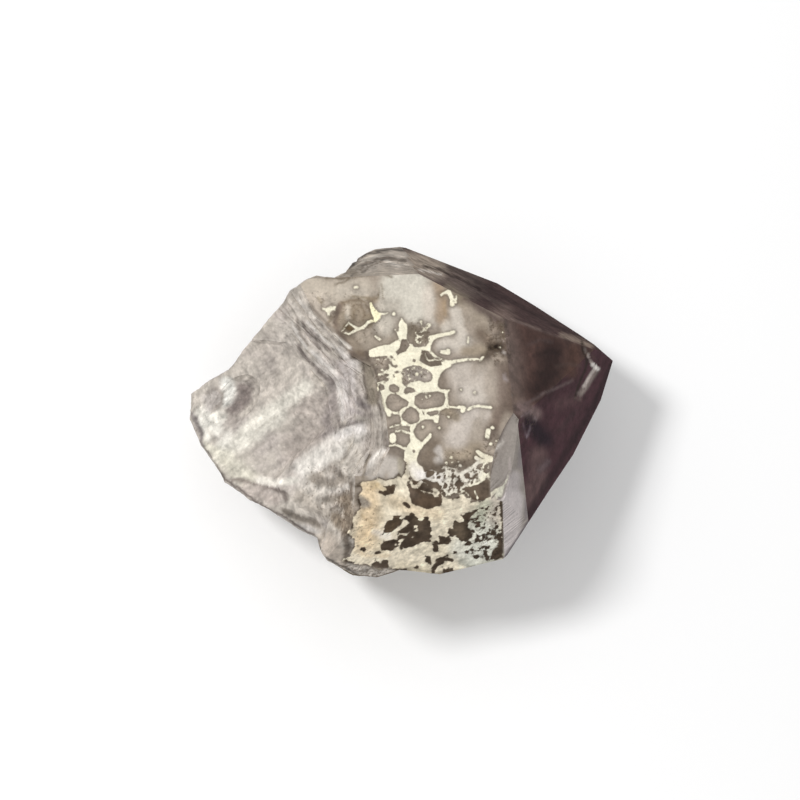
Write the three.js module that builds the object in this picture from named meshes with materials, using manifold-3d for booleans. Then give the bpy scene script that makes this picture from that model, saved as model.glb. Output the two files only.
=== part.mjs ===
import * as THREE from 'three';
import { ImprovedNoise } from 'three/addons/math/ImprovedNoise.js';
import { mergeVertices } from 'three/addons/utils/BufferGeometryUtils.js';
import Module from 'manifold-3d';

// Amethyst point: one quartz crystal, six-sided, with its tip whole and its root broken off.
// Millimetres. The part lies along +X, tip first, and rests on one side face with +Z up.

// Driving sizes.
const ACROSS_FLATS = 45.1; // upper side face to resting side face
const UPPER_FACE_RISE = 22.4; // upper side face above the middle of the crystal
const PYRAMID_SLOPE = 51.8; // tip face normals, degrees from the long axis
const BLOCK = 300; // blanks and cutting blocks, larger than the part

// The show frame: u to the right, v up, w towards the eye, for the side that the crystal is seen from.
const EYE = 520; // eye to the middle of the part
const AXIS_SWING = 14; // long axis above the level line, degrees
const AXIS_DIP = 16; // tip away from the eye, degrees
const AXIS_ROLL = 8; // turn about the long axis, degrees

// Fracture of the root.
const GRAIN = 0.28; // height of the lumps on broken surfaces
const GRAIN_SIZE = 5.5; // width of the larger lumps
const TERRACES = 7; // growth layers that end as steps beside the upper face
const LAYER = 0.68; // thickness of one layer

const wasm = await Module();
wasm.setup();
const noise = new ImprovedNoise();
const toRad = THREE.MathUtils.degToRad;

// Frames

// Columns: the crystal's own x, y and z axes, written in the show frame.
function crystalAxes() {
  const swing = toRad(AXIS_SWING);
  const dip = toRad(-AXIS_DIP);
  const roll = toRad(AXIS_ROLL);
  const level = new THREE.Vector3(-Math.sin(swing), Math.cos(swing), 0);
  const x = new THREE.Vector3(Math.cos(swing), Math.sin(swing), 0).multiplyScalar(Math.cos(dip));
  x.z = Math.sin(dip);
  const z = x.clone().cross(level).multiplyScalar(Math.cos(roll)).addScaledVector(level, Math.sin(roll));
  const y = z.clone().cross(x);
  return new THREE.Matrix4().makeBasis(x, y, z);
}

const AXES = crystalAxes();

// Normal in the show frame, rho degrees from the long axis, az degrees round it from the upper face.
function faceNormal(rho, az) {
  const r = toRad(rho);
  const a = toRad(az);
  const n = new THREE.Vector3(Math.cos(r), Math.sin(r) * Math.sin(a), Math.sin(r) * Math.cos(a));
  return n.applyMatrix4(AXES);
}

// The point of a plane that is seen at u, v.
function seenOn(plane, [u, v]) {
  const eye = new THREE.Vector3(0, 0, EYE);
  const ray = new THREE.Ray(eye, new THREE.Vector3(u, v, -EYE).normalize());
  return ray.intersectPlane(plane, new THREE.Vector3());
}

// The point seen at u, v whose height towards the eye is w.
function seenAt([u, v], w) {
  const scale = (EYE - w) / EYE;
  return new THREE.Vector3(u * scale, v * scale, w);
}

// The plane through two points whose normal is nearest to hint.
function hinged(a, b, hint) {
  const edge = b.clone().sub(a).normalize();
  const n = hint.clone().addScaledVector(edge, -hint.dot(edge)).normalize();
  return new THREE.Plane().setFromNormalAndCoplanarPoint(n, a);
}

// The plane with a given normal through a point.
function facing(normal, point) {
  return new THREE.Plane().setFromNormalAndCoplanarPoint(normal, point);
}

// The plane through three points, facing the side of hint.
function spanned(a, b, c, hint) {
  const plane = new THREE.Plane().setFromCoplanarPoints(a, b, c);
  return plane.normal.dot(hint) < 0 ? plane.negate() : plane;
}

// Solids

function toSolid(geometry) {
  const bare = geometry.clone();
  bare.deleteAttribute('normal');
  bare.deleteAttribute('uv');
  const merged = mergeVertices(bare, 1e-4);
  const mesh = new wasm.Mesh({
    numProp: 3,
    vertProperties: new Float32Array(merged.attributes.position.array),
    triVerts: new Uint32Array(merged.index.array),
  });
  return new wasm.Manifold(mesh);
}

function toGeometry(solid) {
  const mesh = solid.getMesh();
  const geometry = new THREE.BufferGeometry();
  geometry.setAttribute('position', new THREE.BufferAttribute(new Float32Array(mesh.vertProperties), 3));
  geometry.setIndex(new THREE.BufferAttribute(new Uint32Array(mesh.triVerts), 1));
  return geometry;
}

// A block that fills everything beyond a plane.
function beyond(plane) {
  const block = new THREE.BoxGeometry(BLOCK, BLOCK, BLOCK).translate(0, 0, BLOCK / 2);
  const turn = new THREE.Quaternion().setFromUnitVectors(new THREE.Vector3(0, 0, 1), plane.normal);
  const foot = plane.coplanarPoint(new THREE.Vector3());
  return toSolid(block.applyQuaternion(turn).translate(foot.x, foot.y, foot.z));
}

// A prism that follows an outline along the lines of sight; lean moves its wall per millimetre of w.
function sightPrism(outline, lean = [0, 0], level = 0) {
  const shape = new THREE.Shape(outline.map(([u, v]) => new THREE.Vector2(u, v)));
  const prism = new THREE.ExtrudeGeometry(shape, { depth: 140, bevelEnabled: false });
  prism.translate(0, 0, -70);
  const place = prism.attributes.position;
  for (let i = 0; i < place.count; i += 1) {
    const w = place.getZ(i);
    const scale = (EYE - w) / EYE;
    place.setX(i, place.getX(i) * scale + lean[0] * (w - level));
    place.setY(i, place.getY(i) * scale + lean[1] * (w - level));
  }
  return toSolid(prism);
}

// Lumps of a broken surface: broad ones with finer ones on them.
function grain(p, seed) {
  const s = GRAIN_SIZE;
  const broad = noise.noise(p.x / s + seed, p.y / s, p.z / s);
  const fine = noise.noise(p.x / (s * 0.4), p.y / (s * 0.4) + seed, p.z / (s * 0.4));
  return broad + 0.45 * fine;
}

// A cutting block with a bulging, lumpy underside: it leaves a shell-like hollow.
function toSolidScoop(hollow, seed) {
  const { at, facing: look, radius, reach, cells, lumps = GRAIN, squeeze = 1, turn = 0 } = hollow;
  const tall = 60;
  const block = new THREE.BoxGeometry(2 * reach, 2 * reach * squeeze, tall, cells, cells, 1);
  block.translate(0, 0, tall / 2);
  const normal = new THREE.Vector3(...look).normalize();
  const spin = new THREE.Matrix4().makeRotationZ(toRad(turn));
  const stand = new THREE.Quaternion().setFromUnitVectors(new THREE.Vector3(0, 0, 1), normal);
  const move = new THREE.Matrix4().compose(at, stand, new THREE.Vector3(1, 1, 1)).multiply(spin);
  const place = block.attributes.position;
  const p = new THREE.Vector3();
  for (let i = 0; i < place.count; i += 1) {
    p.fromBufferAttribute(place, i);
    if (p.z > 1e-6) continue;
    const away = Math.hypot(p.x, p.y / squeeze);
    const rise = radius - Math.sqrt(Math.max(radius * radius - away * away, 0.04 * radius * radius));
    const spot = p.clone().applyMatrix4(move);
    place.setZ(i, rise + lumps * grain(spot, seed));
  }
  return toSolid(block.applyMatrix4(move));
}

// Crystal faces

const upperFace = new THREE.Plane(faceNormal(90, 0), -UPPER_FACE_RISE);
const restFace = new THREE.Plane(faceNormal(90, 180), UPPER_FACE_RISE - ACROSS_FLATS);

// Where edges are seen, u and v in millimetres.
const SHOULDER = [17.1, 13.6]; // upper face, front face and crown meet
const FRONT_FOOT = [18.6, -0.3]; // lower end of the edge of upper face and front face
const CROWN_END = [30.1, 9.1]; // right end of the edge of front face and crown
const FRONT_TOP = [31.8, 8.0]; // front face, crown and cheek meet
const CHEEK_TOP = [19.0, -3.9]; // upper end of the edge of upper face and cheek
const CHEEK_LOW = [14.9, -16.3]; // on the upper face, where the cheek's plane comes out of it
const CORNER_TOP = [19.7, -5.4]; // upper end of the edge of cheek and frosted corner
const CORNER_RIGHT = [21.3, -20.2]; // lower end of that edge
const CORNER_LEFT = [17.0, -16.4]; // upper end of the edge of coated side and frosted corner
const CORNER_FOOT = [17.3, -25.5]; // lower end of that edge
const SIDE_RIGHT = [14.8, -16.4]; // right end of the edge of upper face and coated side
const SIDE_LEFT = [-4.6, -20.4]; // left end of that edge
const BROW_RIGHT = [5.4, 21.0]; // right end of the edge of upper face and brow
const BROW_LEFT = [-8.6, 20.4]; // left end of that edge
const CROWN_RIM = [23.6, 16.0]; // on the outline of the crown
const CHEEK_RIM = [29.4, -9.5]; // on the outline of the cheek
const COATED_RIM = [6.6, -28.9]; // on the outline of the coated side
const BROW_RIM = [2.0, 26.6]; // on the outline of the brow
const UNDER_TIP_DROP = 12; // from the cheek's outline down to the face under the tip

const frontFace = hinged(
  seenOn(upperFace, SHOULDER), seenOn(upperFace, FRONT_FOOT),
  faceNormal(PYRAMID_SLOPE, 0),
);
const crownFace = hinged(
  seenOn(frontFace, SHOULDER), seenOn(frontFace, CROWN_END),
  faceNormal(PYRAMID_SLOPE, 57),
);
const coatedSide = hinged(
  seenOn(upperFace, SIDE_RIGHT), seenOn(upperFace, SIDE_LEFT),
  faceNormal(90, -60),
);
const cheekFace = spanned(
  seenOn(frontFace, FRONT_TOP), seenOn(upperFace, CHEEK_TOP), seenOn(upperFace, CHEEK_LOW),
  faceNormal(PYRAMID_SLOPE, -60),
);
const cornerUpper = spanned(
  seenOn(cheekFace, CORNER_TOP), seenOn(cheekFace, CORNER_RIGHT), seenOn(coatedSide, CORNER_LEFT),
  cheekFace.normal,
);
const cornerLower = spanned(
  seenOn(coatedSide, CORNER_LEFT), seenOn(coatedSide, CORNER_FOOT), seenOn(cheekFace, CORNER_RIGHT),
  cheekFace.normal,
);
const browSide = hinged(
  seenOn(upperFace, BROW_RIGHT), seenOn(upperFace, BROW_LEFT),
  faceNormal(90, 60),
);

// Faces turned away from the eye.
function hiddenFaces() {
  const cheekRim = seenOn(cheekFace, CHEEK_RIM);
  const underTip = cheekRim.clone().add(new THREE.Vector3(0, 0, -UNDER_TIP_DROP));
  return [
    facing(faceNormal(PYRAMID_SLOPE, 120), seenOn(crownFace, CROWN_RIM)),
    facing(faceNormal(PYRAMID_SLOPE, -120), cheekRim),
    facing(faceNormal(PYRAMID_SLOPE, 180), underTip),
    facing(faceNormal(90, -120), seenOn(coatedSide, COATED_RIM)),
    facing(faceNormal(90, 120), seenOn(browSide, BROW_RIM)),
  ];
}

function wholeCrystal() {
  let solid = toSolid(new THREE.BoxGeometry(BLOCK / 2, BLOCK / 2, BLOCK / 2));
  const seenFaces = [upperFace, restFace, frontFace, crownFace, cornerLower, coatedSide, browSide];
  for (const face of [...seenFaces, ...hiddenFaces()]) solid = solid.subtract(beyond(face));
  return solid.subtract(beyond(cheekFace).intersect(beyond(cornerUpper)));
}

// A shell-shaped flake off the frosted corner, beside the upper face.
const FLAKE_TOP = [19.2, -4.2];
const FLAKE_LOW = [14.2, -16.5];
const FLAKE_RADIUS = 40;
const FLAKE_SINK = 0.12;

function chippedCorner(solid) {
  const top = seenOn(upperFace, FLAKE_TOP);
  const low = seenOn(upperFace, FLAKE_LOW);
  const look = cornerUpper.normal.clone().add(upperFace.normal).normalize();
  const halfChord = top.distanceTo(low) / 2;
  const sink = FLAKE_RADIUS - Math.sqrt(FLAKE_RADIUS ** 2 - halfChord ** 2) + FLAKE_SINK;
  const at = top.clone().lerp(low, 0.5).addScaledVector(look, -sink);
  const flake = { at, facing: look.toArray(), radius: FLAKE_RADIUS, reach: 9, cells: 18, lumps: 0 };
  return solid.subtract(toSolidScoop(flake, 0));
}

// Outline of the whole point as it is seen, clockwise from the tip.
const RIM = [
  [35.3, 6.5], [33.3, 0.0], [28.7, -9.1], [24.8, -14.9], [17.8, -25.7], [15.2, -28.0],
  [11.6, -28.7], [6.6, -28.9], [-0.1, -28.1], [-3.9, -29.3], [-7.7, -28.9], [-12.1, -26.5],
  [-13.1, -24.7], [-13.6, -22.7], [-16.6, -21.4], [-21.7, -18.1], [-24.7, -16.5], [-28.9, -13.5],
  [-30.6, -10.6], [-32.8, -7.6], [-34.8, -3.3], [-34.6, 1.0], [-32.0, 2.8], [-28.4, 5.0],
  [-24.5, 10.0], [-19.4, 16.1], [-18.1, 18.1], [-15.3, 20.0], [-13.8, 20.6], [-10.9, 20.2],
  [-9.0, 21.2], [-7.6, 23.1], [-5.5, 24.4], [-4.1, 25.0], [0.0, 25.4], [5.0, 24.5], [10.8, 21.6],
  [15.4, 19.8], [22.1, 15.8], [29.7, 10.9], [32.2, 9.2],
];

// Broken root, seen side

// Edges of the stepped band beside the upper face: its right edge and its left edge.
const BAND_RIGHT = [
  [-17.2, 21.2], [-14.3, 14.5], [-10.0, 10.1], [-7.8, 7.3], [-4.6, 5.6], [-2.7, 0.0], [-2.3, -8.3],
  [-5.0, -12.9],
];
const BAND_LEFT = [
  [-24.9, 11.6], [-18.2, 9.8], [-14.4, 5.8], [-11.4, 3.0], [-10.8, 0.8], [-10.3, -2.7],
  [-13.6, -7.0], [-17.2, -11.8],
];
const BAND_LEAN = [0.35, 0.12];

function terraces(solid) {
  const up = upperFace.normal;
  let cut = solid;
  for (let k = 0; k < TERRACES; k += 1) {
    const share = (k + 0.25 * Math.sin(2.1 * k)) / (TERRACES - 1);
    const wander = 0.35 * Math.sin(2.4 * k);
    const line = BAND_RIGHT.map(([u, v], i) => {
      const [ul, vl] = BAND_LEFT[i];
      return [u + (ul - u) * share + wander * Math.sin(i), v + (vl - v) * share + wander * Math.cos(i)];
    });
    const floor = new THREE.Plane(up.clone(), -(UPPER_FACE_RISE - LAYER * (k + 1)));
    const prism = sightPrism([...line, [-60, -16], [-60, 40]], BAND_LEAN, 24);
    cut = cut.subtract(prism.intersect(beyond(floor)));
  }
  return cut;
}

// Hollows of the seen side: place, height towards the eye, direction that the hollow faces, radius.
const SPOON = {
  at: seenAt([-23.9, -2.5], 12.1),
  facing: [-0.5, -0.15, 0.85],
  radius: 45, reach: 34, cells: 34,
};
const TROUGH = {
  at: seenAt([-22.9, 6.3], 14.0),
  facing: [-0.56, -0.2, 0.8],
  radius: 22, reach: 13, cells: 22, squeeze: 1.9, turn: -48,
};
const GULLY = {
  at: seenAt([-17.5, -6.9], 14.2),
  facing: [-0.58, -0.2, 0.79],
  radius: 14, reach: 9, cells: 18, squeeze: 1.7, turn: -50,
};
const GROOVE = {
  at: seenAt([-27.2, 0.4], 8.2),
  facing: [-0.3, -0.25, 0.9],
  radius: 4.0, reach: 3.6, cells: 12, squeeze: 1.7, turn: -45,
};
const TIP_FLAT = {
  at: seenAt([-32.0, 0.6], 7.0),
  facing: [-0.75, 0.1, 0.65],
  radius: 30, reach: 7, cells: 8,
};
const ROUGH = {
  at: seenAt([-15.6, -15.2], 17.6),
  facing: [-0.6, -0.2, 0.76],
  radius: 20, reach: 10, cells: 18,
};

// The lower shelf along the outline: its inner edge, then points outside the part.
const SHELF = [
  [-33.0, -10.0], [-28.9, -12.6], [-26.0, -13.3], [-23.2, -13.3], [-19.9, -14.7], [-18.8, -16.6],
  [-17.6, -18.7], [-13.8, -20.4], [-13.2, -22.6], [-16, -34], [-44, -20],
];
const SHELF_LEAN = [0.3, 0.3];
const SHELF_BED = {
  at: seenAt([-21, -16.5], 12.8),
  facing: [-0.65, -0.3, 0.7],
  radius: 60, reach: 14, cells: 20,
};

function brokenFront(solid) {
  const leftOfBand = sightPrism([...BAND_LEFT, [-16, -40], [-60, -40], [-60, 20]], BAND_LEAN, 22);
  const hollows = [TROUGH, GULLY, GROOVE, TIP_FLAT, ROUGH].map((hollow, i) => toSolidScoop(hollow, i));
  let cut = solid.subtract(toSolidScoop(SPOON, 7));
  for (const hollow of hollows) cut = cut.subtract(hollow.intersect(leftOfBand));
  return cut.subtract(sightPrism(SHELF, SHELF_LEAN, 14).intersect(toSolidScoop(SHELF_BED, 8)));
}

// A chip on the edge beside the tip.
const TIP_CHIP_PLACE = [31.2, 3.3];
const TIP_CHIP = { radius: 0.9, reach: 0.8, cells: 8, lumps: 0.05, squeeze: 4.3, turn: -42 };

function chippedTip(solid) {
  const facing = cheekFace.normal.clone().add(frontFace.normal).normalize();
  const at = seenOn(cheekFace, TIP_CHIP_PLACE).addScaledVector(facing, -0.35);
  return solid.subtract(toSolidScoop({ at, facing: facing.toArray(), ...TIP_CHIP }, 3));
}

// Growth layers along the brow: edges of the thin layers, and how deep each lies under the brow face.
const BROW_LAYERS = [
  [[-9.4, 21.4], [-6.4, 22.6], [-1.0, 22.4], [5.0, 22.2], [10.0, 20.3], [15.4, 17.4]],
  [[-8.4, 22.6], [-5.2, 23.6], [0.0, 23.9], [5.6, 23.0], [11.0, 20.9], [15.8, 18.6]],
];
const BROW_STEP = 0.5;

function browLayers(solid) {
  let cut = solid;
  BROW_LAYERS.forEach((edge, i) => {
    const floor = browSide.clone();
    floor.constant += BROW_STEP * (i + 1);
    const layer = sightPrism([...edge, [16, 40], [-30, 40]]).intersect(beyond(floor));
    cut = cut.subtract(layer);
  });
  return cut;
}

// Broken root, far side

const UNDER_LEFT = {
  at: seenAt([-30.5, -1.5], -1.0),
  facing: [-0.8, -0.05, -0.6],
  radius: 34, reach: 26, cells: 22,
};
const UNDER_TOP = {
  at: seenAt([-21.6, 11.4], 12.5),
  facing: [-0.45, 0.78, -0.44],
  radius: 34, reach: 24, cells: 24,
};
const UNDER_NOTCH = {
  at: seenAt([-14.6, 18.6], 13.4),
  facing: [-0.3, 0.78, -0.55],
  radius: 14, reach: 7.5, cells: 12,
};
const UNDER_LOW = {
  at: seenAt([-22.0, -14.5], 0.0),
  facing: [-0.5, -0.68, -0.53],
  radius: 38, reach: 26, cells: 22,
};
const ROOT_END = {
  at: seenAt([-22.0, 1.0], -18.0),
  facing: [-0.85, 0.1, -0.5],
  radius: 44, reach: 30, cells: 22,
};

function brokenBack(solid) {
  let cut = solid;
  [UNDER_LEFT, UNDER_TOP, UNDER_NOTCH, UNDER_LOW, ROOT_END].forEach((hollow, i) => {
    cut = cut.subtract(toSolidScoop(hollow, 10 + i));
  });
  return cut;
}

const crystal = chippedTip(browLayers(chippedCorner(wholeCrystal())));
const seenSide = brokenFront(terraces(crystal));
const body = brokenBack(seenSide).intersect(sightPrism(RIM));

const geometry = toGeometry(body).toNonIndexed();
geometry.applyMatrix4(AXES.clone().invert());
geometry.computeBoundingBox();
const box = geometry.boundingBox;
geometry.translate(-(box.min.x + box.max.x) / 2, -(box.min.y + box.max.y) / 2, -box.min.z);
geometry.computeVertexNormals();

const quartz = new THREE.MeshStandardMaterial({ color: '#8d7f86', roughness: 0.3, metalness: 0 });
const point = new THREE.Mesh(geometry, quartz);
point.name = 'amethyst_point';

const part = new THREE.Group();
part.name = 'amethyst_point_part';
part.add(point);

export default part;
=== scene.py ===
"""Amethyst point: finish, light and view of a broken quartz crystal. Sizes in millimetres unless said."""
import math

import bmesh
import bpy
import numpy as np
from bpy.props import FloatProperty, FloatVectorProperty, PointerProperty
from mathutils import Matrix, Vector, noise
from mathutils.kdtree import KDTree


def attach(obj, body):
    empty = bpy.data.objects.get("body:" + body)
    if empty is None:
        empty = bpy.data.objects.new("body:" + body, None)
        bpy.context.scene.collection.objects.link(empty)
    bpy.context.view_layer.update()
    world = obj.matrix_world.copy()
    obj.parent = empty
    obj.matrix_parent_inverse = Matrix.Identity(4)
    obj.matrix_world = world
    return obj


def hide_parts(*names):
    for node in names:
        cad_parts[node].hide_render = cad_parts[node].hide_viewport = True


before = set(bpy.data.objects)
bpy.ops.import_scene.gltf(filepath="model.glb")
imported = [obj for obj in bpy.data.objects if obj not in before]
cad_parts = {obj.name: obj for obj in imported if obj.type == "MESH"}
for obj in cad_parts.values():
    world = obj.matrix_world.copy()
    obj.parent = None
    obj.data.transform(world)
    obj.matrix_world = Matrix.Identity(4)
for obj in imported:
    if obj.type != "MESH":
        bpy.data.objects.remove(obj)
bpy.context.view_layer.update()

bl_info = {
    "name": "Amethyst point",
    "version": (1, 0, 0),
    "blender": (4, 5, 0),
    "location": "3D View > Sidebar > Amethyst point",
    "description": "Builds a broken amethyst point with its milky side, cream network and chalky crust",
    "category": "Add Mesh",
}

MM = 0.001
NODE = "amethyst_point"

# The side that the crystal is seen from: its long axis swung, dipped and rolled before the eye, in degrees.
AXIS_SWING = 14.0
AXIS_DIP = 16.0
AXIS_ROLL = 8.0
EYE = 520.0  # from the eye to the middle of the view
VIEW_MIDDLE = (-2.199, 2.942, 22.7)  # the point of the part in the middle of the view
VIEW_SCALE = 6.03  # image points for one millimetre at the middle of the view
IMAGE = 800  # width of the image in points


def show_axes():
    """Rows: right, up and towards the eye, each in the part's own axes."""
    swing, dip, roll = math.radians(AXIS_SWING), math.radians(-AXIS_DIP), math.radians(AXIS_ROLL)
    x = Vector((math.cos(dip) * math.cos(swing), math.cos(dip) * math.sin(swing), math.sin(dip)))
    level = Vector((-math.sin(swing), math.cos(swing), 0.0))
    z = x.cross(level) * math.cos(roll) + level * math.sin(roll)
    y = z.cross(x)
    return np.array([[x[i], y[i], z[i]] for i in range(3)])


SHOW = show_axes()


def path(*numbers):
    """A line or outline from its points, each as distances right of and above the middle of the view."""
    return list(zip(numbers[::2], numbers[1::2]))


def to_show(points):
    """Points of the part, in millimetres, as right, up and towards the eye."""
    return (points - np.array(VIEW_MIDDLE)) @ SHOW.T


def seen(points):
    """Where points of the part are seen, in millimetres right of and above the middle of the view."""
    place = to_show(points)
    scale = EYE / (EYE - place[:, 2])
    return place[:, :2] * scale[:, None]


# Colours

def linear(code):
    """An sRGB hex colour as linear red, green and blue."""
    parts = [int(code[i:i + 2], 16) / 255 for i in (1, 3, 5)]
    return [c / 12.92 if c <= 0.04045 else ((c + 0.055) / 1.055) ** 2.4 for c in parts]


# Settings

class CrystalSettings(bpy.types.PropertyGroup):
    grain_edge: FloatProperty(
        name="Fine edge", description="Longest mesh edge on the seen side",
        default=0.00052, unit="LENGTH")
    coarse_edge: FloatProperty(
        name="Coarse edge", description="Longest mesh edge on the hidden side",
        default=0.0011, unit="LENGTH")
    plain_edge: FloatProperty(
        name="Plain edge", description="Longest mesh edge on smooth crystal faces",
        default=0.002, unit="LENGTH")
    lump_height: FloatProperty(
        name="Lump height", description="Height of the lumps on broken quartz",
        default=0.00022, unit="LENGTH")


class StageSettings(bpy.types.PropertyGroup):
    floor_size: FloatProperty(
        name="Floor size", description="Side of the pale floor", default=3.0, unit="LENGTH")
    floor_colour: FloatVectorProperty(
        name="Floor colour", description="Colour of the pale floor",
        default=(0.88, 0.88, 0.88), subtype="COLOR")
    key_power: FloatProperty(
        name="Key light", description="Power of the soft light above and to the left",
        default=2.35, unit="POWER")
    sky: FloatProperty(
        name="Sky", description="Strength of the even light all round", default=0.73)


# Crystal faces, in degrees: the normal's angle from the long axis, and its turn from the upper face.
FLAT_FACES = {
    "upper": (90, 0), "rest": (90, 180), "front": (53.1, -8.2), "crown": (53.7, 56.0),
    "cheek": (49.9, -36.5), "coated": (92.5, -59.9), "corner_upper": (42.3, -35.9),
    "corner_lower": (61.8, -56.2), "brow": (80.8, 59.1), "side_a": (90, 120), "side_b": (90, -120),
    "under_b": (51.8, -120), "under_c": (51.8, 180),
}
ROOT = 0
ZONE = {name: i + 1 for i, name in enumerate(FLAT_FACES)}
FLAKE = len(ZONE) + 1
TIP_WALL = len(ZONE) + 2
FACE_LEAN = 1.6  # degrees that a mesh face may lean away from its crystal face
UPPER_HEIGHT = 45.1
UPPER_DROP = 0.05  # how far below the upper face a face is no longer part of it
TIP_START = 9.0  # place on the long axis where the broken root has ended
FLAKE_RIM = path(
    18.7, -1.5, 16.4, -5.6, 14.8, -10, 14.8, -16.6, 17.4, -17.1, 18.7, -12.6, 19.6, -8.3, 20.4, -3)


def flat_normal(rho, turn):
    """Normal of a crystal face from its two angles."""
    r, a = math.radians(rho), math.radians(turn)
    return Vector((math.cos(r), math.sin(r) * math.sin(a), math.sin(r) * math.cos(a)))


def inside(uv, ring):
    """Which points lie in a closed outline."""
    found = np.zeros(len(uv), bool)
    last = ring[-1]
    for point in ring:
        (x0, y0), (x1, y1) = last, point
        crosses = (y0 > uv[:, 1]) != (y1 > uv[:, 1])
        if y0 != y1:
            found ^= crosses & (uv[:, 0] < x0 + (uv[:, 1] - y0) * (x1 - x0) / (y1 - y0))
        last = point
    return found


def zone_of(face):
    """The crystal face that a mesh face belongs to, or ROOT where the quartz is broken."""
    centre = face.calc_center_median() / MM
    for name, (rho, turn) in FLAT_FACES.items():
        if face.normal.angle(flat_normal(rho, turn)) < math.radians(FACE_LEAN):
            if name == "upper" and centre.z < UPPER_HEIGHT - UPPER_DROP:
                continue
            return ZONE[name]
    spot = np.array([centre])
    if inside(seen(spot), FLAKE_RIM)[0] and to_show(spot)[0, 2] > 0:
        return FLAKE
    return TIP_WALL if centre.x > TIP_START else ROOT


def refine(bm, longest, rounds=9):
    """Splits mesh edges until none is longer than longest(edge)."""
    for _ in range(rounds):
        long_edges = [e for e in bm.edges if e.calc_length() > longest(e)]
        if not long_edges:
            break
        bmesh.ops.subdivide_edges(bm, edges=long_edges, cuts=1, use_single_edge=True)
        bmesh.ops.triangulate(bm, faces=[f for f in bm.faces if len(f.verts) > 3])


SAME_SPOT = 0.001
SLIVER = 0.02
FLAT_ANGLE = 0.5  # degrees between faces that count as one flat
TURNED_AWAY = -0.05  # a normal's share towards the eye below which its face is hidden
PLAIN_SHARE = 1.2  # edges of the seen crystal faces, as a share of the finest


def crystal_mesh(settings):
    """The solid's mesh, merged, marked with its crystal faces and split finely where it is looked at."""
    bm = bmesh.new()
    bm.from_mesh(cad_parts[NODE].data)
    bmesh.ops.remove_doubles(bm, verts=bm.verts, dist=SAME_SPOT * MM)
    bmesh.ops.dissolve_degenerate(bm, dist=SLIVER * MM, edges=bm.edges)
    bmesh.ops.dissolve_limit(bm, angle_limit=math.radians(FLAT_ANGLE), verts=bm.verts, edges=bm.edges)
    bmesh.ops.triangulate(bm, faces=bm.faces)
    bm.normal_update()
    layer = bm.faces.layers.int.new("zone")
    for face in bm.faces:
        face[layer] = zone_of(face)
    detailed = {ROOT, ZONE["upper"], ZONE["coated"], ZONE["brow"]}
    hidden = {ZONE[name] for name in ("rest", "side_a", "side_b", "under_b", "under_c")}
    eye = Vector(SHOW[2])

    def longest(edge):
        zones = {f[layer] for f in edge.link_faces}
        if not zones & detailed:
            return settings.plain_edge if zones <= hidden else settings.grain_edge * PLAIN_SHARE
        away = all(f.normal.dot(eye) < TURNED_AWAY for f in edge.link_faces if f[layer] in detailed)
        return settings.coarse_edge if away else settings.grain_edge

    refine(bm, longest)
    bmesh.ops.recalc_face_normals(bm, faces=bm.faces)
    mesh = bpy.data.meshes.new("crystal")
    bm.to_mesh(mesh)
    bm.free()
    return mesh


OCTAVE_FALL = 0.8  # how fast the finer lumps get lower
OCTAVE_STEP = 2.1  # how much finer each round of lumps is


def fractal(points, size, octaves=3, shift=0.0):
    """Smooth lumps of about -1 to 1 at points, the largest of them size across."""
    move = Vector((shift, 1.7 * shift, -0.6 * shift))
    places = [Vector(point) / size + move for point in points]
    return np.array([noise.fractal(place, OCTAVE_FALL, OCTAVE_STEP, octaves) for place in places])


def path_distance(uv, line):
    """Distance of each point to a line, and how far along the line the nearest place is, 0 to 1."""
    best = np.full(len(uv), 1e9)
    share = np.zeros(len(uv))
    steps = len(line) - 1
    for i in range(steps):
        a, b = np.array(line[i]), np.array(line[i + 1])
        t = np.clip(((uv - a) @ (b - a)) / ((b - a) @ (b - a)), 0, 1)
        away = np.linalg.norm(uv - (a + t[:, None] * (b - a)), axis=1)
        nearer = away < best
        best[nearer] = away[nearer]
        share[nearer] = ((i + t) / steps)[nearer]
    return best, share


def smooth(x):
    """Eases from 0 to 1 as x does, level at both ends."""
    x = np.clip(x, 0, 1)
    return x * x * (3 - 2 * x)


# Broken root

BAND_EASE = 0.5
LAYERS_ALONG, LAYERS_ACROSS = 7, 17  # growth layers of the band: lumps along it and across it
WAVES_ALONG, WAVES_ACROSS, WAVE_HEIGHT = 9, 2, 0.05  # how the layers sway
BROW_ALONG, BROW_LAYER = 9, 0.33  # the brow's layers: lumps along it, and their thickness
BROAD_LUMP, SMALL_LUMP, SMALL_SHARE = 4.2, 0.9, 0.35  # widths, and the small ones' share of the height
BAND_HEIGHT, FAN_HEIGHT, RIDGE_HEIGHT = 0.16, 0.20, 0.13
# Splinters: direction in degrees, width and length.
FAN_SPLINTERS = (38, 0.9, 5.0)
RIDGE_SPLINTERS = (42, 1.1, 6.5)
FINE_SPLINTERS = (40, 0.75, 4.5)

BAND_RIGHT = path(
    -17.2, 21.2, -14.3, 14.5, -10, 10.1, -7.8, 7.3, -4.6, 5.6, -2.7, 0, -2.3, -8.3, -5, -12.9)
BAND_LEFT = path(
    -24.9, 11.6, -18.2, 9.8, -14.4, 5.8, -11.4, 3, -10.8, 0.8, -10.3, -2.7, -13.6, -7, -17.2, -11.8)
BROW_RUN = path(
    -9.1, 20.6, -8, 22.1, -6.3, 23.2, -4.1, 23.9, -1.3, 24, 1.7, 23.5, 5, 22.6, 8.3, 21.2, 13.3, 18.4,
    18.6, 15.3)
FAN_EDGE = path(
    -5.6, -2.3, -10.4, -3.3, -11.1, -7.6, -16.9, -10.3, -22.9, -12.3, -23.9, -16.6, -18.2, -19.1,
    -8.3, -26.5, -4.6, -14.9)


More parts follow.
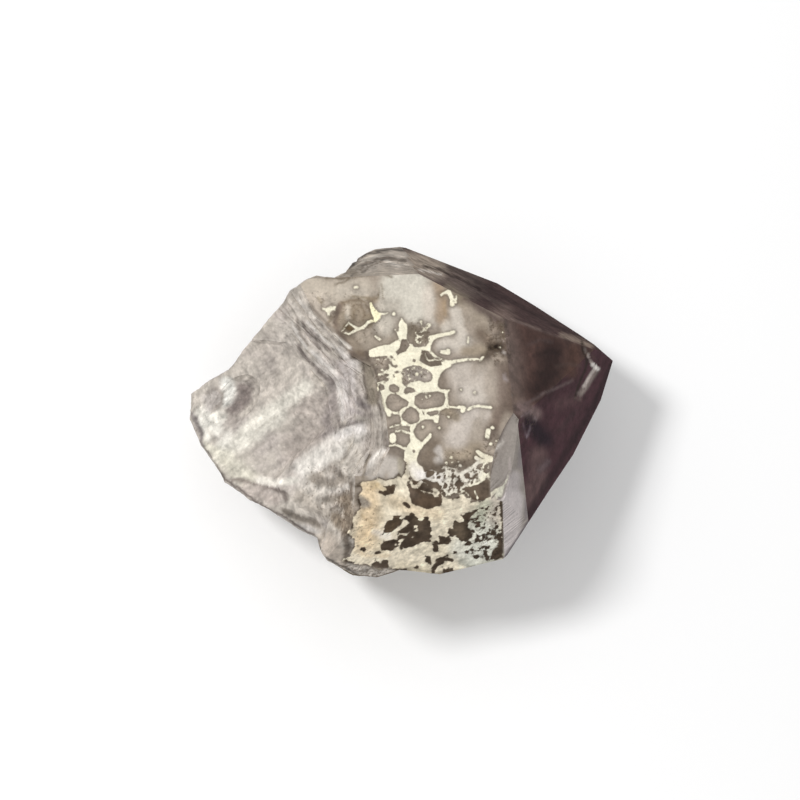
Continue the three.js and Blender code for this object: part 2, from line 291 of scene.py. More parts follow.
def streaks(uv, direction, spacing, length, shift=0.0):
    """Lumps drawn out along a direction, given in degrees, as on splintery quartz."""
    c, s = math.cos(math.radians(direction)), math.sin(math.radians(direction))
    along = uv[:, 0] * c + uv[:, 1] * s
    across = uv[:, 1] * c - uv[:, 0] * s
    spots = np.stack([along / length, across / spacing, np.full(len(uv), shift)], 1)
    return fractal(spots, 1.0, 3)


def band_place(uv):
    """How far a point lies across the stepped band, 0 at its right edge and 1 at its left, and along it."""
    right, along = path_distance(uv, BAND_RIGHT)
    left, _ = path_distance(uv, BAND_LEFT)
    across = right / (right + left + 1e-6)
    return across, along


def band_weight(uv):
    """1 on the stepped band, easing to 0 at its edges."""
    ring = BAND_RIGHT + BAND_LEFT[::-1]
    within = inside(uv, ring).astype(float)
    edge = np.minimum(path_distance(uv, BAND_RIGHT)[0], path_distance(uv, BAND_LEFT)[0])
    return within * smooth(edge / BAND_EASE)


def band_layers(uv):
    """Thin growth layers that run along the band."""
    across, along = band_place(uv)
    wave = fractal(np.stack([along * WAVES_ALONG, across * WAVES_ACROSS, np.zeros(len(uv))], 1), 1.0, 2)
    swayed = across + WAVE_HEIGHT * wave
    spots = np.stack([along * LAYERS_ALONG, swayed * LAYERS_ACROSS, np.full(len(uv), 4.0)], 1)
    return fractal(spots, 1.0, 3)


def brow_layers(uv):
    """Thin growth layers that follow the brow and run out on the crown."""
    away, along = path_distance(uv, BROW_RUN)
    side = np.where(uv[:, 1] > np.interp(uv[:, 0], *zip(*BROW_RUN)), 1, -1)
    spots = np.stack([along * BROW_ALONG, side * away / BROW_LAYER, np.full(len(uv), 6.0)], 1)
    return fractal(spots, 1.0, 3)


def relief(points, uv, front, settings):
    """Height of the broken surface over the solid's, in millimetres."""
    high = settings.lump_height / MM
    height = high * fractal(points, BROAD_LUMP, 4)
    height += SMALL_SHARE * high * fractal(points, SMALL_LUMP, 2, 7.0)
    band = band_weight(uv) * front
    fan = inside(uv, FAN_EDGE) * front
    ridge = (1 - band) * (1 - fan) * front
    height += band * BAND_HEIGHT * band_layers(uv)
    height += fan * FAN_HEIGHT * streaks(uv, *FAN_SPLINTERS)
    height += ridge * RIDGE_HEIGHT * streaks(uv, *RIDGE_SPLINTERS, 3.0)
    return height


# Tones where no stroke is laid.
MILK = "#C2BAB0"
FAR_ROOT_TONE = "#A9A29C"
CLOUDY_ROOT_TONE = "#B4AAA6"
SIDE_TONE = "#8B8177"
FOOT_TONE = "#756B5C"
WINDOW_TONE = "#4A3D31"
CREAM_TONE = "#E5DFC9"
CREAM_STAIN = "#DDD3B4"
COAT_TONE = "#DBD0BA"
UPPER_TONE = "#A19588"
CROWN_TONE = "#4B3C3B"
FRONT_TONE = "#5B433C"
CHEEK_TONE = "#4C3036"
BROW_TONE = "#A79C8F"
FROST_TONE = "#9F9790"

# Strokes on the quartz: colour, full width, softness of the edge, strength, then the path.
# On the root, ridges get painted highlight; hollows, creases and the lower outline get painted shade.
# Some strokes are the quartz's own colour and some are painted highlight and painted shade.
ROOT_TONE_AND_SHADE_STROKES = [
    ("#CFC8BE", 1.33, 1.16, 0.4, -22.9, -2, -20.6, -0.7),
    ("#BFB3A5", 1.16, 1.16, 0.45, -30.3, -8.3, -28.4, -10.6),
    ("#A0978F", 2.32, 1.99, 0.35, -20.9, 10.9, -18.9, 10.4),
    ("#C9BEB1", 2.16, 1.82, 0.6, -10.8, -16.6, -9.3, -17.9),
    # Painted shade in a crease.
    ("#8F8581", 3.32, 2.32, 0.45, -12.3, 0.3, -11.1, -3.3, -12.9, -6.6),
    ("#8F8580", 2.32, 1.99, 0.3, -17.2, -6.6, -18.2, -9.6),
    ("#AFA59D", 4.98, 2.65, 0.8, -17.2, 0.3, -13.6, -1.7, -14.9, -5, -17.2, -7.5),
    ("#B7AEA5", 4.31, 3.32, 0.5, -22.9, 8, -20.7, 6.3, -21.9, 3.3),
    # Painted highlight on the side of the main ridge that faces the light.
    ("#E4DFD3", 2.49, 1.82, 0.9, -15.9, 2, -19.1, -0.5, -22.9, -3.3, -26.5, -6.3, -29.2, -9),
    ("#DDD8C8", 3.32, 2.32, 0.8, -31.2, -7.6, -28.2, -10.3, -25.5, -12.9),
    ("#F6F4EC", 2.07, 1.33, 0.92, -28.7, 2.7, -28.2, 1.8, -28.9, -0.2),
    ("#E3DFD5", 3.32, 1.66, 0.85, -32.5, -2.7, -30.2, -3.3, -29.5, -6.3),
    ("#A39A93", 1.49, 1.16, 0.75, -24.7, 2.7, -25.7, -0.3, -27.9, -3.3, -31, -6.8),
    # Painted shade in a hollow.
    ("#7C726E", 2.16, 1.33, 0.85, -26, 1.7, -25.7, 0.3, -26.7, -0.8, -27.7, -1.5),
    ("#C6BEB8", 1.99, 1.16, 0.8, -32, 0.3, -30.8, 1, -30.3, -0.3, -31.5, -1.2),
    ("#E9E4D8", 2.32, 1.66, 0.85, -20.2, -2.8, -23.5, -5.3, -26.5, -7.3),
    ("#EFEBE1", 1.66, 1.33, 0.8, -31.8, -3, -30.8, -4, -30.2, -5),
    ("#A9A199", 2.32, 1.49, 0.7, -21.9, 10.6, -19.2, 10, -18.2, 8),
    # Painted light over a shaded step.
    ("#D5CDC4", 0.66, 0.5, 0.6, -24.9, 10, -21.9, 9.6, -18.9, 9.3),
    ("#A0978F", 0.5, 0.5, 0.8, -32.2, 1.2, -30.8, 2, -29.5, 1, -29.5, -0.5, -31.2, -1.8),
    ("#77706E", 0.83, 0.66, 0.9, -34.5, -2.3, -33.8, -3.3, -33, -5.1, -32.7, -7.5),
    ("#C9C1B8", 4.31, 3.32, 0.6, -13.3, 16.6, -16.6, 13.6, -18.2, 10.3),
    ("#D6D0C8", 0.66, 0.5, 0.6, -16.6, 16.6, -15.6, 15.3),
    ("#D0CAC4", 1.82, 1.33, 0.7, -13.3, 6.6, -11.6, 4.8, -10.3, 2.3, -9.3, 0.3),
    ("#D2CCC7", 2.32, 1.49, 0.7, -8, 6.5, -8.1, 4.6, -8.6, 2.7),
    ("#7E7570", 0.66, 0.66, 0.9, -16.9, 9, -16.1, 7.6, -15.1, 6.5, -13.3, 4.5, -11.4, 2.8),
    ("#958C88", 1.49, 1.16, 0.8, -11.4, 3, -10.9, 1, -11.4, -1.3, -12.3, -3.3, -11.4, -5.1,
        -12.4, -6.3),
    ("#8A817D", 1, 0.66, 0.7, -13.1, -6.1, -11.6, -6.1),
    ("#9D948D", 0.66, 0.5, 0.7, -14.8, -7.6, -13.3, -7.1, -11.6, -6.8),
    ("#DCD7CF", 3.32, 1.99, 0.85, -15.9, -11.3, -12.9, -9.3, -8.3, -6.6),
    ("#D8D1C9", 2.65, 1.66, 0.7, -11.6, -7.6, -8.6, -5.6, -5.6, -4.6),
    ("#A39A8F", 0.66, 0.66, 0.6, -13.6, -12.3, -11.3, -10.9, -9, -9.6),
    ("#9C9388", 0.5, 0.5, 0.6, -8, -7.6, -9, -9.6, -10, -10.9),
    ("#ECE7E2", 0.66, 0.5, 0.8, -9.1, -5.1, -7.5, -4.6, -5.6, -5),
    ("#E4DFDA", 0.66, 0.66, 0.8, -9.6, 0.5, -9.5, -2.5),
    ("#807877", 1, 0.83, 0.8, -7.1, -0.2, -6.1, -1, -5.3, -1.3),
    ("#928988", 0.83, 0.66, 0.7, -8.1, -1.8, -6.6, -2.2, -4.6, -2.7),
    ("#958D8B", 1, 0.66, 0.7, -8, -3.6, -6.6, -4, -5.5, -4),
    ("#CFC7BC", 2.65, 1.66, 0.7, -8, -7.6, -7, -10.3, -8.6, -11.6),
    ("#D4CDC4", 1.66, 1.33, 0.6, -16.6, -13.9, -11.6, -14.9, -8.6, -14.3),
    ("#8B8278", 1.82, 1.16, 0.85, -14.3, -12.8, -11.6, -13.9, -10, -13.3),
    ("#847B71", 1.16, 0.83, 0.7, -10.9, -11.6, -9.6, -12.6, -8, -13.3),
    ("#A39A8F", 1.99, 1.49, 0.7, -16.6, -15.9, -14.6, -17.6, -12.3, -18.9),
    ("#F0EBE0", 1, 0.83, 0.85, -23.2, -13.3, -20.6, -13.8, -17.2, -13.3),
    ("#7A706A", 0.66, 0.5, 0.9, -27.7, -13.1, -24.9, -13.6, -22.9, -14.4, -20.7, -14.8, -19.2, -15.6,
        -18.9, -16.6),
    ("#BBB0A8", 2.16, 1.16, 0.85, -25.5, -14.8, -22.9, -15.6, -20.6, -16.4),
    ("#6F675E", 1.16, 0.83, 0.9, -19.2, -18.4, -17.2, -19.4, -15.4, -19.9, -13.6, -20.7),
    ("#BBB6B1", 0.66, 0.66, 0.85, -16.9, -20.9, -14.9, -21.4, -13.6, -21.9),
    ("#7A7268", 1.33, 1, 0.8, -12.4, -16.6, -10.3, -16.3),
    ("#665D54", 0.83, 0.66, 0.8, -11.6, -18.1, -10.6, -17.7),
    ("#857767", 2.16, 1.49, 0.9, -9, -16.3, -8.3, -18.6, -8.8, -21.1, -10.6, -19.6),
    ("#B4A89B", 2.99, 1.99, 0.7, -12.3, -22.9, -10.3, -25.2),
    ("#C2B6A9", 2.32, 1.33, 0.8, -12.6, -24, -10.9, -25.9, -10, -26.9),
    ("#62574C", 1.16, 0.83, 0.85, -9.3, -22.2, -8.5, -24.5, -9, -26.5),
    # Painted shade along the lower outline, in this stroke and the next.
    ("#5F5753", 0.5, 0.33, 0.9, -32.5, -8.1, -30.7, -10.8, -29.2, -12.9, -26.5, -14.9, -23.5, -17.1,
        -18.2, -20.1, -13.6, -23),
    ("#55504C", 0.43, 0.33, 0.9, -13.3, -23.2, -12.9, -25.7, -10.9, -26.9, -9.1, -27.7, -7.3, -28.9),
    ("#F4F0E6", 0.91, 0.66, 0.7, -33, -3.3, -32.3, -5.1, -31.8, -6.3),
]
# Strokes on the stepped band and where it runs on over the upper face.
# Its light and dark lines are partly painted highlight and painted shade on the steps and along its edges.
BAND_TONE_AND_SHADE_STROKES = [
    ("#EEE8E3", 1.66, 1.33, 0.8, -10, -5.8, -8, -5, -6, -4.8),
    ("#C9BFB2", 1.16, 1.16, 0.4, -4.8, -4.3, -4, -6.3),
    ("#DAD1C9", 1, 1, 0.8, -15.6, 10.9, -13.9, 9, -11.9, 5.6),
    ("#978D84", 1.33, 1.16, 0.6, -9.5, 8, -8.8, 7),
    ("#D6CDCA", 2.16, 1.82, 0.5, -9.5, 5.6, -8.1, 1.7, -8.5, -2.3),
    ("#756B68", 0.4, 0.33, 0.7, -10.3, -2.7, -10, -4.6, -8.3, -4, -6.3, -3.5),
    ("#776D6A", 0.4, 0.33, 0.6, -6.6, 0.7, -6, -1.3, -4.6, -2.7),
    ("#5E5348", 0.66, 0.66, 0.9, -8, -13.9, -8, -16.3),
    ("#6E645E", 0.5, 0.41, 0.9, -3.6, -0.5, -3.2, -1.7, -3, -2.8),
    ("#8C8274", 1.99, 0.83, 0.9, -5.5, 5.6, -4.8, 2.7, -4.5, 0),
    ("#776D64", 0.4, 0.33, 0.85, -6.1, 6.3, -6, 4, -5.5, 0.3),
    ("#756A60", 0.5, 0.41, 0.85, -5, 6.3, -4.1, 5, -3.6, 3, -3.6, 0.3),
    ("#A89F96", 2.99, 1.33, 0.6, -4.6, -3, -4.1, -5.6, -4, -8.3),
    ("#8E857C", 0.41, 0.33, 0.7, -3.8, -5, -3.6, -8),
    ("#8A8077", 0.58, 0.5, 0.8, -2.5, -5, -2.3, -8.1),
    ("#E3DDD5", 1, 0.66, 0.85, -2.8, -8.5, -4, -9.5, -4.8, -10.8),
    ("#BDB5AC", 2.65, 1.33, 0.95, -4, -12.3, -2.7, -10.3, -1, -10.9, -0.7, -12.3),
    ("#A59C8A", 0.83, 0.66, 0.8, 0, -10, 0.2, -12.9),
    ("#8C8173", 0.41, 0.33, 0.85, -5, -9.1, -5.8, -11.1, -6.3, -13.3),
    ("#77695E", 0.83, 0.66, 0.9, -10, 15.6, -10.6, 14.3, -10.8, 12.9, -10.4, 11.4, -9.3, 10,
        -8.1, 8.3, -7.6, 7.1),
    ("#6B5F55", 0.83, 0.66, 0.9, -7.6, 7.3, -6.3, 6.8, -5.3, 6.6, -5.6, 7.8),
    ("#E2DBD1", 0.53, 0.33, 0.9, -14.8, 14.4, -13.3, 12.9, -11.3, 10.9, -9.5, 9.6, -8.3, 8.6),
    ("#83796F", 0.6, 0.5, 0.8, -14.8, 15.9, -14.1, 14.6, -12.4, 13.1, -11.1, 11.4),
    ("#968D86", 0.5, 0.33, 0.75, -13.9, 13.4, -12.4, 11.8, -10.9, 10.1, -9.6, 9),
    ("#928984", 0.66, 0.41, 0.8, -14.8, 11.8, -13.8, 10.4, -12.8, 9.3, -11.6, 8.3),
    ("#807771", 0.53, 0.33, 0.85, -16.1, 12.9, -15.6, 11.4, -14.4, 10.3, -13.3, 8.6),
    ("#E0DAD3", 0.5, 0.33, 0.85, -15.3, 12.9, -13.9, 11.4, -12.3, 9.8, -10.9, 8.8),
    ("#8D847C", 0.46, 0.33, 0.8, -17.1, 13.6, -16.6, 11.3, -15.3, 9.1),
    ("#DDD7D0", 0.5, 0.4, 0.8, -17.9, 12.9, -16.9, 10.6, -15.6, 8.6),
    ("#E0DAD3", 0.66, 0.5, 0.8, -14.6, 8, -12.9, 6.5, -10.9, 4.6),
    ("#A39A93", 0.4, 0.33, 0.7, -12.9, 8, -10.9, 6.3, -9.6, 4.3),
    ("#A0978F", 0.4, 0.33, 0.6, -9, 5.6, -8.3, 3.3, -8.3, 0.3),
    ("#9A918A", 0.4, 0.33, 0.6, -7.3, 5, -7, 2, -7, -0.3),
    ("#E2DCD6", 0.56, 0.4, 0.8, -10.3, 2.7, -10, 0, -9.5, -3.3),
    ("#8D847D", 0.33, 0.27, 0.8, -11.8, 8.6, -10.6, 8.3, -10.1, 7.1, -9.3, 6.5, -8.1, 7),
    ("#D8D2CC", 1.16, 0.66, 0.7, -10, 8.3, -9, 7.3),
]
UPPER_STROKES = [
    ("#C2B7A8", 3.98, 1.99, 0.95, -15.6, 18.9, -11.6, 17.7, -6.3, 18.1),
    ("#C4B8AA", 3.65, 1.99, 0.9, -14.6, 16.3, -12.6, 14.6, -11.3, 12.9),
    ("#A89C8D", 2.65, 1.99, 0.9, -8, 11.6, -4.6, 9.6, -1.3, 9.6),
    ("#C0B8AB", 3.32, 1.99, 0.9, -2, 17.2, -2.5, 12.3),
    ("#D2CCBF", 5.64, 2.65, 1, -0.3, 19.2, 2, 18.9, 2.3, 15.6),
    ("#D2C8BB", 1.66, 1.33, 0.9, 4.6, 18.2, 5, 12.9),
    ("#A2957F", 2.32, 1.66, 0.9, 10, 17.9, 11.3, 16.3),
    ("#AEA192", 2.32, 1.99, 0.8, 11.3, 15.6, 12.3, 13.6),
    ("#D0C7BA", 1.66, 0.83, 0.9, 7.6, 12.6, 7.6, 11.1),
    ("#CFC6BA", 1.99, 1, 0.9, 9.3, 14.6, 9.6, 11.9, 10.9, 9.6),
    ("#AA9680", 1.66, 1.66, 0.9, 6.6, 19.2, 7, 16.6, 6.8, 13.6),
    ("#A48C6E", 0.5, 0.66, 0.6, 7.3, 16.3, 7.5, 14.3),
    ("#A29585", 2.32, 1.99, 0.7, 13.3, 13.6, 13.9, 11.6),
    ("#75675A", 2.32, 1.82, 0.9, 13.6, 10.9, 15.3, 9.3),
    ("#94867A", 1.99, 1.49, 0.85, 15.6, 13.9, 16.3, 11.3),
    ("#4A3D33", 1.82, 1.49, 0.8, 14.3, 7.6, 16.3, 8.8, 18.2, 8.1),
    ("#221914", 0.56, 0.43, 0.9, 13.9, 7.8, 14.8, 8.6, 15.6, 8.5, 16.3, 9.1, 17.1, 8.8, 17.9, 9.5),
    ("#221914", 0.43, 0.33, 0.7, 16.1, 9.1, 16.4, 8.1, 17.6, 7.5),
    ("#2B211A", 0.4, 0.4, 0.6, 17.4, 11.6, 17.1, 10.3, 17.7, 9.3),
    ("#2B211A", 0.33, 0.33, 0.5, 15.3, 10.3, 16.3, 10.9, 16.7, 12.3),
    ("#D2C9BD", 2.32, 1.49, 0.85, 7.3, 9.1, 9.6, 9.1),
    ("#A0927F", 1.66, 1.33, 0.8, 10.9, 8, 13.6, 8.3),
    ("#8C7F72", 1.33, 1.33, 0.8, 7.3, 4.3, 7.1, 2.3),
    ("#C4BAAF", 4.31, 2.65, 0.95, 10, 4.6, 11.6, 1.3, 13.9, 3),
    ("#D2C9BE", 2.32, 1.99, 0.8, 11.3, 1.3, 12.9, 0.7),
    ("#8B7C72", 1.99, 1.99, 0.8, 16.6, 4.6, 16.9, 0.3),
    ("#74655B", 2.65, 2.65, 0.95, 18.4, 12.9, 18.6, 6.6, 18.2, -0.7),
    ("#564844", 1.49, 1.49, 0.85, 10.9, 16.9, 14.3, 14.6, 17.1, 12.9),
    ("#C9BFB8", 0.66, 0.4, 0.9, 17.1, 8, 17.2, 7.8),
    ("#B0A4A2", 0.83, 0.5, 0.9, 17.4, 4, 17.7, 3.5),
    ("#9C8F88", 0.4, 0.33, 0.8, 17.1, 9.8, 17.3, 9.6),
    ("#CCC2B8", 3.65, 1.99, 0.95, 12.9, -2, 10.6, -4, 9.3, -6.3),
    ("#AEA396", 1.66, 1.33, 0.8, 12.9, -4, 12.6, -6.6),
    ("#8E7F73", 1.66, 1.33, 0.8, 16.1, -1.7, 15.6, -4),
    ("#7F7264", 2.65, 1.66, 0.9, 5.3, -7.6, 4.3, -9.6, 5, -11.6),
    ("#CBC3BB", 1.33, 0.83, 0.9, 6.3, -8.3, 7.1, -9.3, 6.3, -10.1),
    ("#A0927F", 2.65, 1.66, 0.8, 8.6, -9.3, 10.9, -9.6, 12.6, -8.3),
    ("#7A6D60", 1.33, 1, 0.7, 10.9, -10.6, 12.6, -9.6),
    ("#7D6E5F", 0.83, 0.5, 0.85, -9.8, 16.1, -10.4, 14.4, -10.8, 12.3),
    ("#8E8172", 1.99, 1.33, 0.85, -9, 10.8, -7.6, 9, -6.6, 8),
    ("#6F6153", 1.16, 0.83, 0.85, -7.3, 7.6, -5.6, 7.6),
    ("#988A78", 3.65, 1.99, 0.85, -8, 15.3, -6.6, 13.6, -9.6, 13.3),
    ("#7D6E5C", 0.36, 0.33, 0.85, -9.8, 16.1, -8.6, 16.4, -7.3, 16.6, -6, 16.1, -5.1, 15.3, -4.8, 13.9),
    ("#7D6E5C", 0.33, 0.3, 0.8, -8.1, 15.1, -7.6, 15.9, -6.6, 15.8, -6, 14.8, -6, 13.3),
    ("#8A7B67", 0.3, 0.27, 0.8, -7.5, 13.4, -7.5, 14.8, -7, 15.3),
    ("#C9BFB0", 0.83, 0.5, 0.7, -8.6, 15.3, -8.5, 13.6),
    ("#8A7455", 0.83, 0.5, 0.8, -9, 12.1, -8, 11.9),
    ("#8A7A66", 1, 0.83, 0.8, -5.3, 16.6, -4, 16.7),
    ("#8B7D69", 0.83, 0.66, 0.7, -5.3, 13.9, -4.6, 13.3, -5, 12.3),
    ("#6E6152", 0.43, 0.33, 0.8, -12.9, 20.4, -10.8, 20.1, -8.6, 20.4),
    ("#75695A", 0.36, 0.33, 0.8, -11.1, 18.9, -9.1, 19.7, -8, 20.2, -5.6, 20.6, -3.6, 21.1, -1.3, 20.4),
    ("#857966", 0.27, 0.23, 0.8, -3.5, 18.4, -3.6, 17.1),
    ("#857966", 0.27, 0.23, 0.8, -3, 19.1, -2.7, 16.7),
    ("#C4BAAC", 1.66, 1.33, 0.7, -10, 17.9, -6.3, 17.9),
    ("#8A7D6C", 0.66, 0.5, 0.6, 6, 10.6, 6.6, 10.8),
    ("#82766A", 1.49, 0.5, 0.9, 0.3, 9.8, 0.3, 8.1),
    ("#84796A", 1.99, 1, 0.85, 2, 11.6, 3, 10, 4, 10.6),
    ("#7C7062", 1.49, 0.66, 0.8, 4, 7.6, 5, 6.1, 6.6, 6),
    ("#80756A", 2.32, 1, 0.8, -1.3, -8.3, -0.3, -9.3),
    ("#C9BEAC", 0.83, 0.66, 0.9, -0.5, -4.8, 0.8, -5),
    ("#C4BAB0", 2.32, 1.33, 0.7, 2, 4.5, 4, 4),
    ("#B9AC9B", 1.99, 1.33, 0.6, 4, -5, 4, -6),
    ("#9C8E7A", 1.66, 1, 0.7, 7.6, -1.8, 9.3, -2.8),
    ("#A79A8C", 1.99, 1.66, 0.6, 14.9, 4.3, 14.9, 1.7),
    ("#B2A698", 1, 1, 0.5, 13.9, -1.3, 12.9, -4),
    ("#685950", 1.49, 1.33, 0.9, 18.4, 5.6, 18.9, 2.3, 18.9, -1.3),
    ("#6A5C52", 1.33, 1.33, 0.6, 16.6, 6, 17.6, 4.3),
    ("#6E6056", 1.49, 1.33, 0.7, 17.6, -0.7, 16.3, -3, 15.3, -6),
    ("#6B5E50", 1, 1, 0.7, 16.6, 12.3, 17.6, 10.3),
    ("#6B5F52", 1.16, 0.83, 0.7, 5.6, -10.9, 8, -11.1, 9.6, -10.9),
    ("#8F816C", 0.5, 0.33, 0.7, -8, 17.2, -5.6, 16.7),
    ("#93866F", 0.5, 0.33, 0.6, -13.6, 16.9, -12.9, 16.1),
    ("#857764", 0.5, 0.33, 0.7, -11.4, 13.6, -12.1, 12.3),
    ("#6B5A44", 0.66, 0.33, 0.9, -9, 12.3, -8.6, 11.6, -8, 11.6),
]

# The cream film on the upper face: its whole outline, and the cells of bare quartz in it.
NETWORK = path(
    -5.1, 8.3, -3.6, 8.9, -1.7, 9.2, -0.7, 9.8, -0.1, 10, -0.5, 11.1, -0.2, 11.4, -0.2, 12.6, 0.2, 13.6,
    0.7, 12.9, 1.2, 12.6, 1.2, 11.3, 1.1, 10.2, 1.6, 9.4, 2.1, 9.3, 2.3, 8.7, 3.3, 8.7, 4.3, 8.9,
    4.8, 9.6, 4.7, 10.4, 5, 10.7, 5.6, 10.4, 6, 10.2, 5.5, 9.8, 5.1, 9.1, 5.1, 8.3, 6, 7.3, 7.3, 6.7,
    8.3, 6.5, 8.6, 5.6, 7.5, 5.1, 6.8, 4.3, 6.3, 3.3, 6.2, 2.3, 6.6, 1.8, 8.3, 1.7, 8.4, 1.5, 7.8, 1.2,
    8, 0.5, 8, -0.5, 7.6, -1.3, 6.8, -1.8, 6.5, -2.5, 6.3, -3.8, 5.7, -3.8, 5.5, -3.2, 4, -3.2, 3.5, -3.5,
    2.7, -4.1, 2.2, -5.3, 2.7, -6.3, 3.5, -7, 4, -6.8, 5.1, -5.7, 5.3, -6.1, 4, -7.5, 3.3, -8.3, 3, -9.1,
    2.8, -10, 3, -10.6, 3.8, -11.1, 4, -11.9, 4.5, -12.9, 3, -13.3, 1.5, -12.9, 1.5, -10.9, 0.7, -10,
    0.7, -8.6, 1, -8.2, 1.2, -7.6, 1.7, -7, 1.7, -6.1, 1.8, -5.3, 1.6, -4.8, 1.8, -4.4, 0.3, -4.2,
    0.2, -3.4, 0, -2.4, -0.8, -2.3, -1.3, -2.1, -2, -2.7, -2.5, -1.9, -2.8, -0.8, -3, 0.3, -3.2, 1.4,
    -3.8, 1.5, -3.8, 2.9, -2.8, 3.2, -2, 3, -1.7, 3.6, -2.8, 3.8, -3, 4.5, -2.3, 5, -1.7, 5.1, -1.8, 6,
    -1.5, 6.3, -2, 7.4, -3.3, 7.2, -5.1, 7.1)
CELLS = [
    path(0.2, 10.1, 1.2, 10, 1.6, 9, 1, 8.1, 0, 7.7, -0.4, 7.4, -0.7, 8, -0.1, 8.6, 0.1, 9.6),
    path(3.6, 8.3, 4.8, 8.1, 5.5, 7.1, 6.6, 7, 7.3, 6.5, 7.1, 5.8, 6, 5.6, 5, 5.5, 4, 6, 3.2, 6.5,
        3.5, 7.5),
    path(0.3, 5, 1.2, 5.5, 2.3, 5.8, 3.5, 5.5, 4.6, 5, 5.4, 4.3, 5.4, 3.5, 5, 3, 4.1, 2.9, 3.2, 3.2,
        2.2, 3, 1.3, 2.5, 0.8, 2.3, 0.4, 2.7, 0.3, 3.8),
    path(-1.7, 2.5, -1, 2.7, 0, 2, -0.2, 1.4, -1.2, 1.2, -1.9, 1.7),
    path(0.7, 1.8, 1.3, 2.2, 2.2, 2, 2.7, 1.5, 2, 1.2, 1.3, 1.2, 1.2, 0.8, 0.6, 1),
    path(-3.5, 2.8, -2.7, 2.5, -2.5, 1.8, -3.2, 1.5, -3.6, 1.8),
    path(2.5, 0.7, 3.3, 1.2, 4.5, 1.3, 6.1, 1.4, 7.3, 1.2, 7.6, 0.3, 7.3, -0.7, 6.8, -1.2, 5.3, -1.3,
        4.1, -1.6, 3.2, -1.5, 2.3, -0.7),
    path(-2.2, 0.5, -1.5, 1.1, -0.5, 0.9, 0.7, 0.2, 1.5, -0.3, 1.3, -1, 0.5, -1.3, -0.2, -2,
        -1.3, -1.9, -2.1, -1.3, -2.4, -0.3),
    path(0.7, -1.7, 1.8, -1, 2.7, -1.5, 3.2, -2.3, 3.3, -3.2, 2.8, -3.8, 1.7, -4.1, 0.5, -3.3,
        0.2, -2.7),
    path(4.5, -2, 6, -1.7, 6.6, -1.8, 6.3, -2.4, 5, -2.7, 4.4, -2.3),
]
# Where the network is speckled with film.
SPECKLED = [
    path(1.7, 12.9, 4.6, 12.6, 4.8, 10.6, 4.6, 9.8, 4.3, 9, 3.3, 9, 2.2, 9.3, 1.5, 10.3), CELLS[2],
    path(-4.6, 7.3, -1.7, 7.1, -1.8, 6, -3.3, 3, -4.3, 4.6),
    path(15.3, 12.9, 17.6, 12.6, 17.9, 6.6, 14.9, 7.3, 16.3, 9.1),
    path(2.5, 0.7, 4.6, 1.3, 5, 0.3, 3.3, -0.7), path(7.6, -8.6, 10.3, -10, 11.6, -11.6, 6.6, -11.6),
]
# Bare marks in the film: width, then the path.
DARK_MARKS = [
    (0.3, -1.5, 7.3, -1, 6.6), (0.53, -0.7, 5.6, -0.6, 5.6), (0.43, -0.7, 4.6, -0.3, 4.6),
    (0.27, -1.5, 6.3, -1.2, 5.6), (0.5, -2.5, 4.1, -2, 4.1), (0.5, 2.3, 6.6, 2.4, 6.5),
    (0.27, -1, 4.1, -1, 3.8), (0.27, 3.8, -2, 4, -2.5), (0.43, 2.3, -8.4, 2.3, -8.6),
]
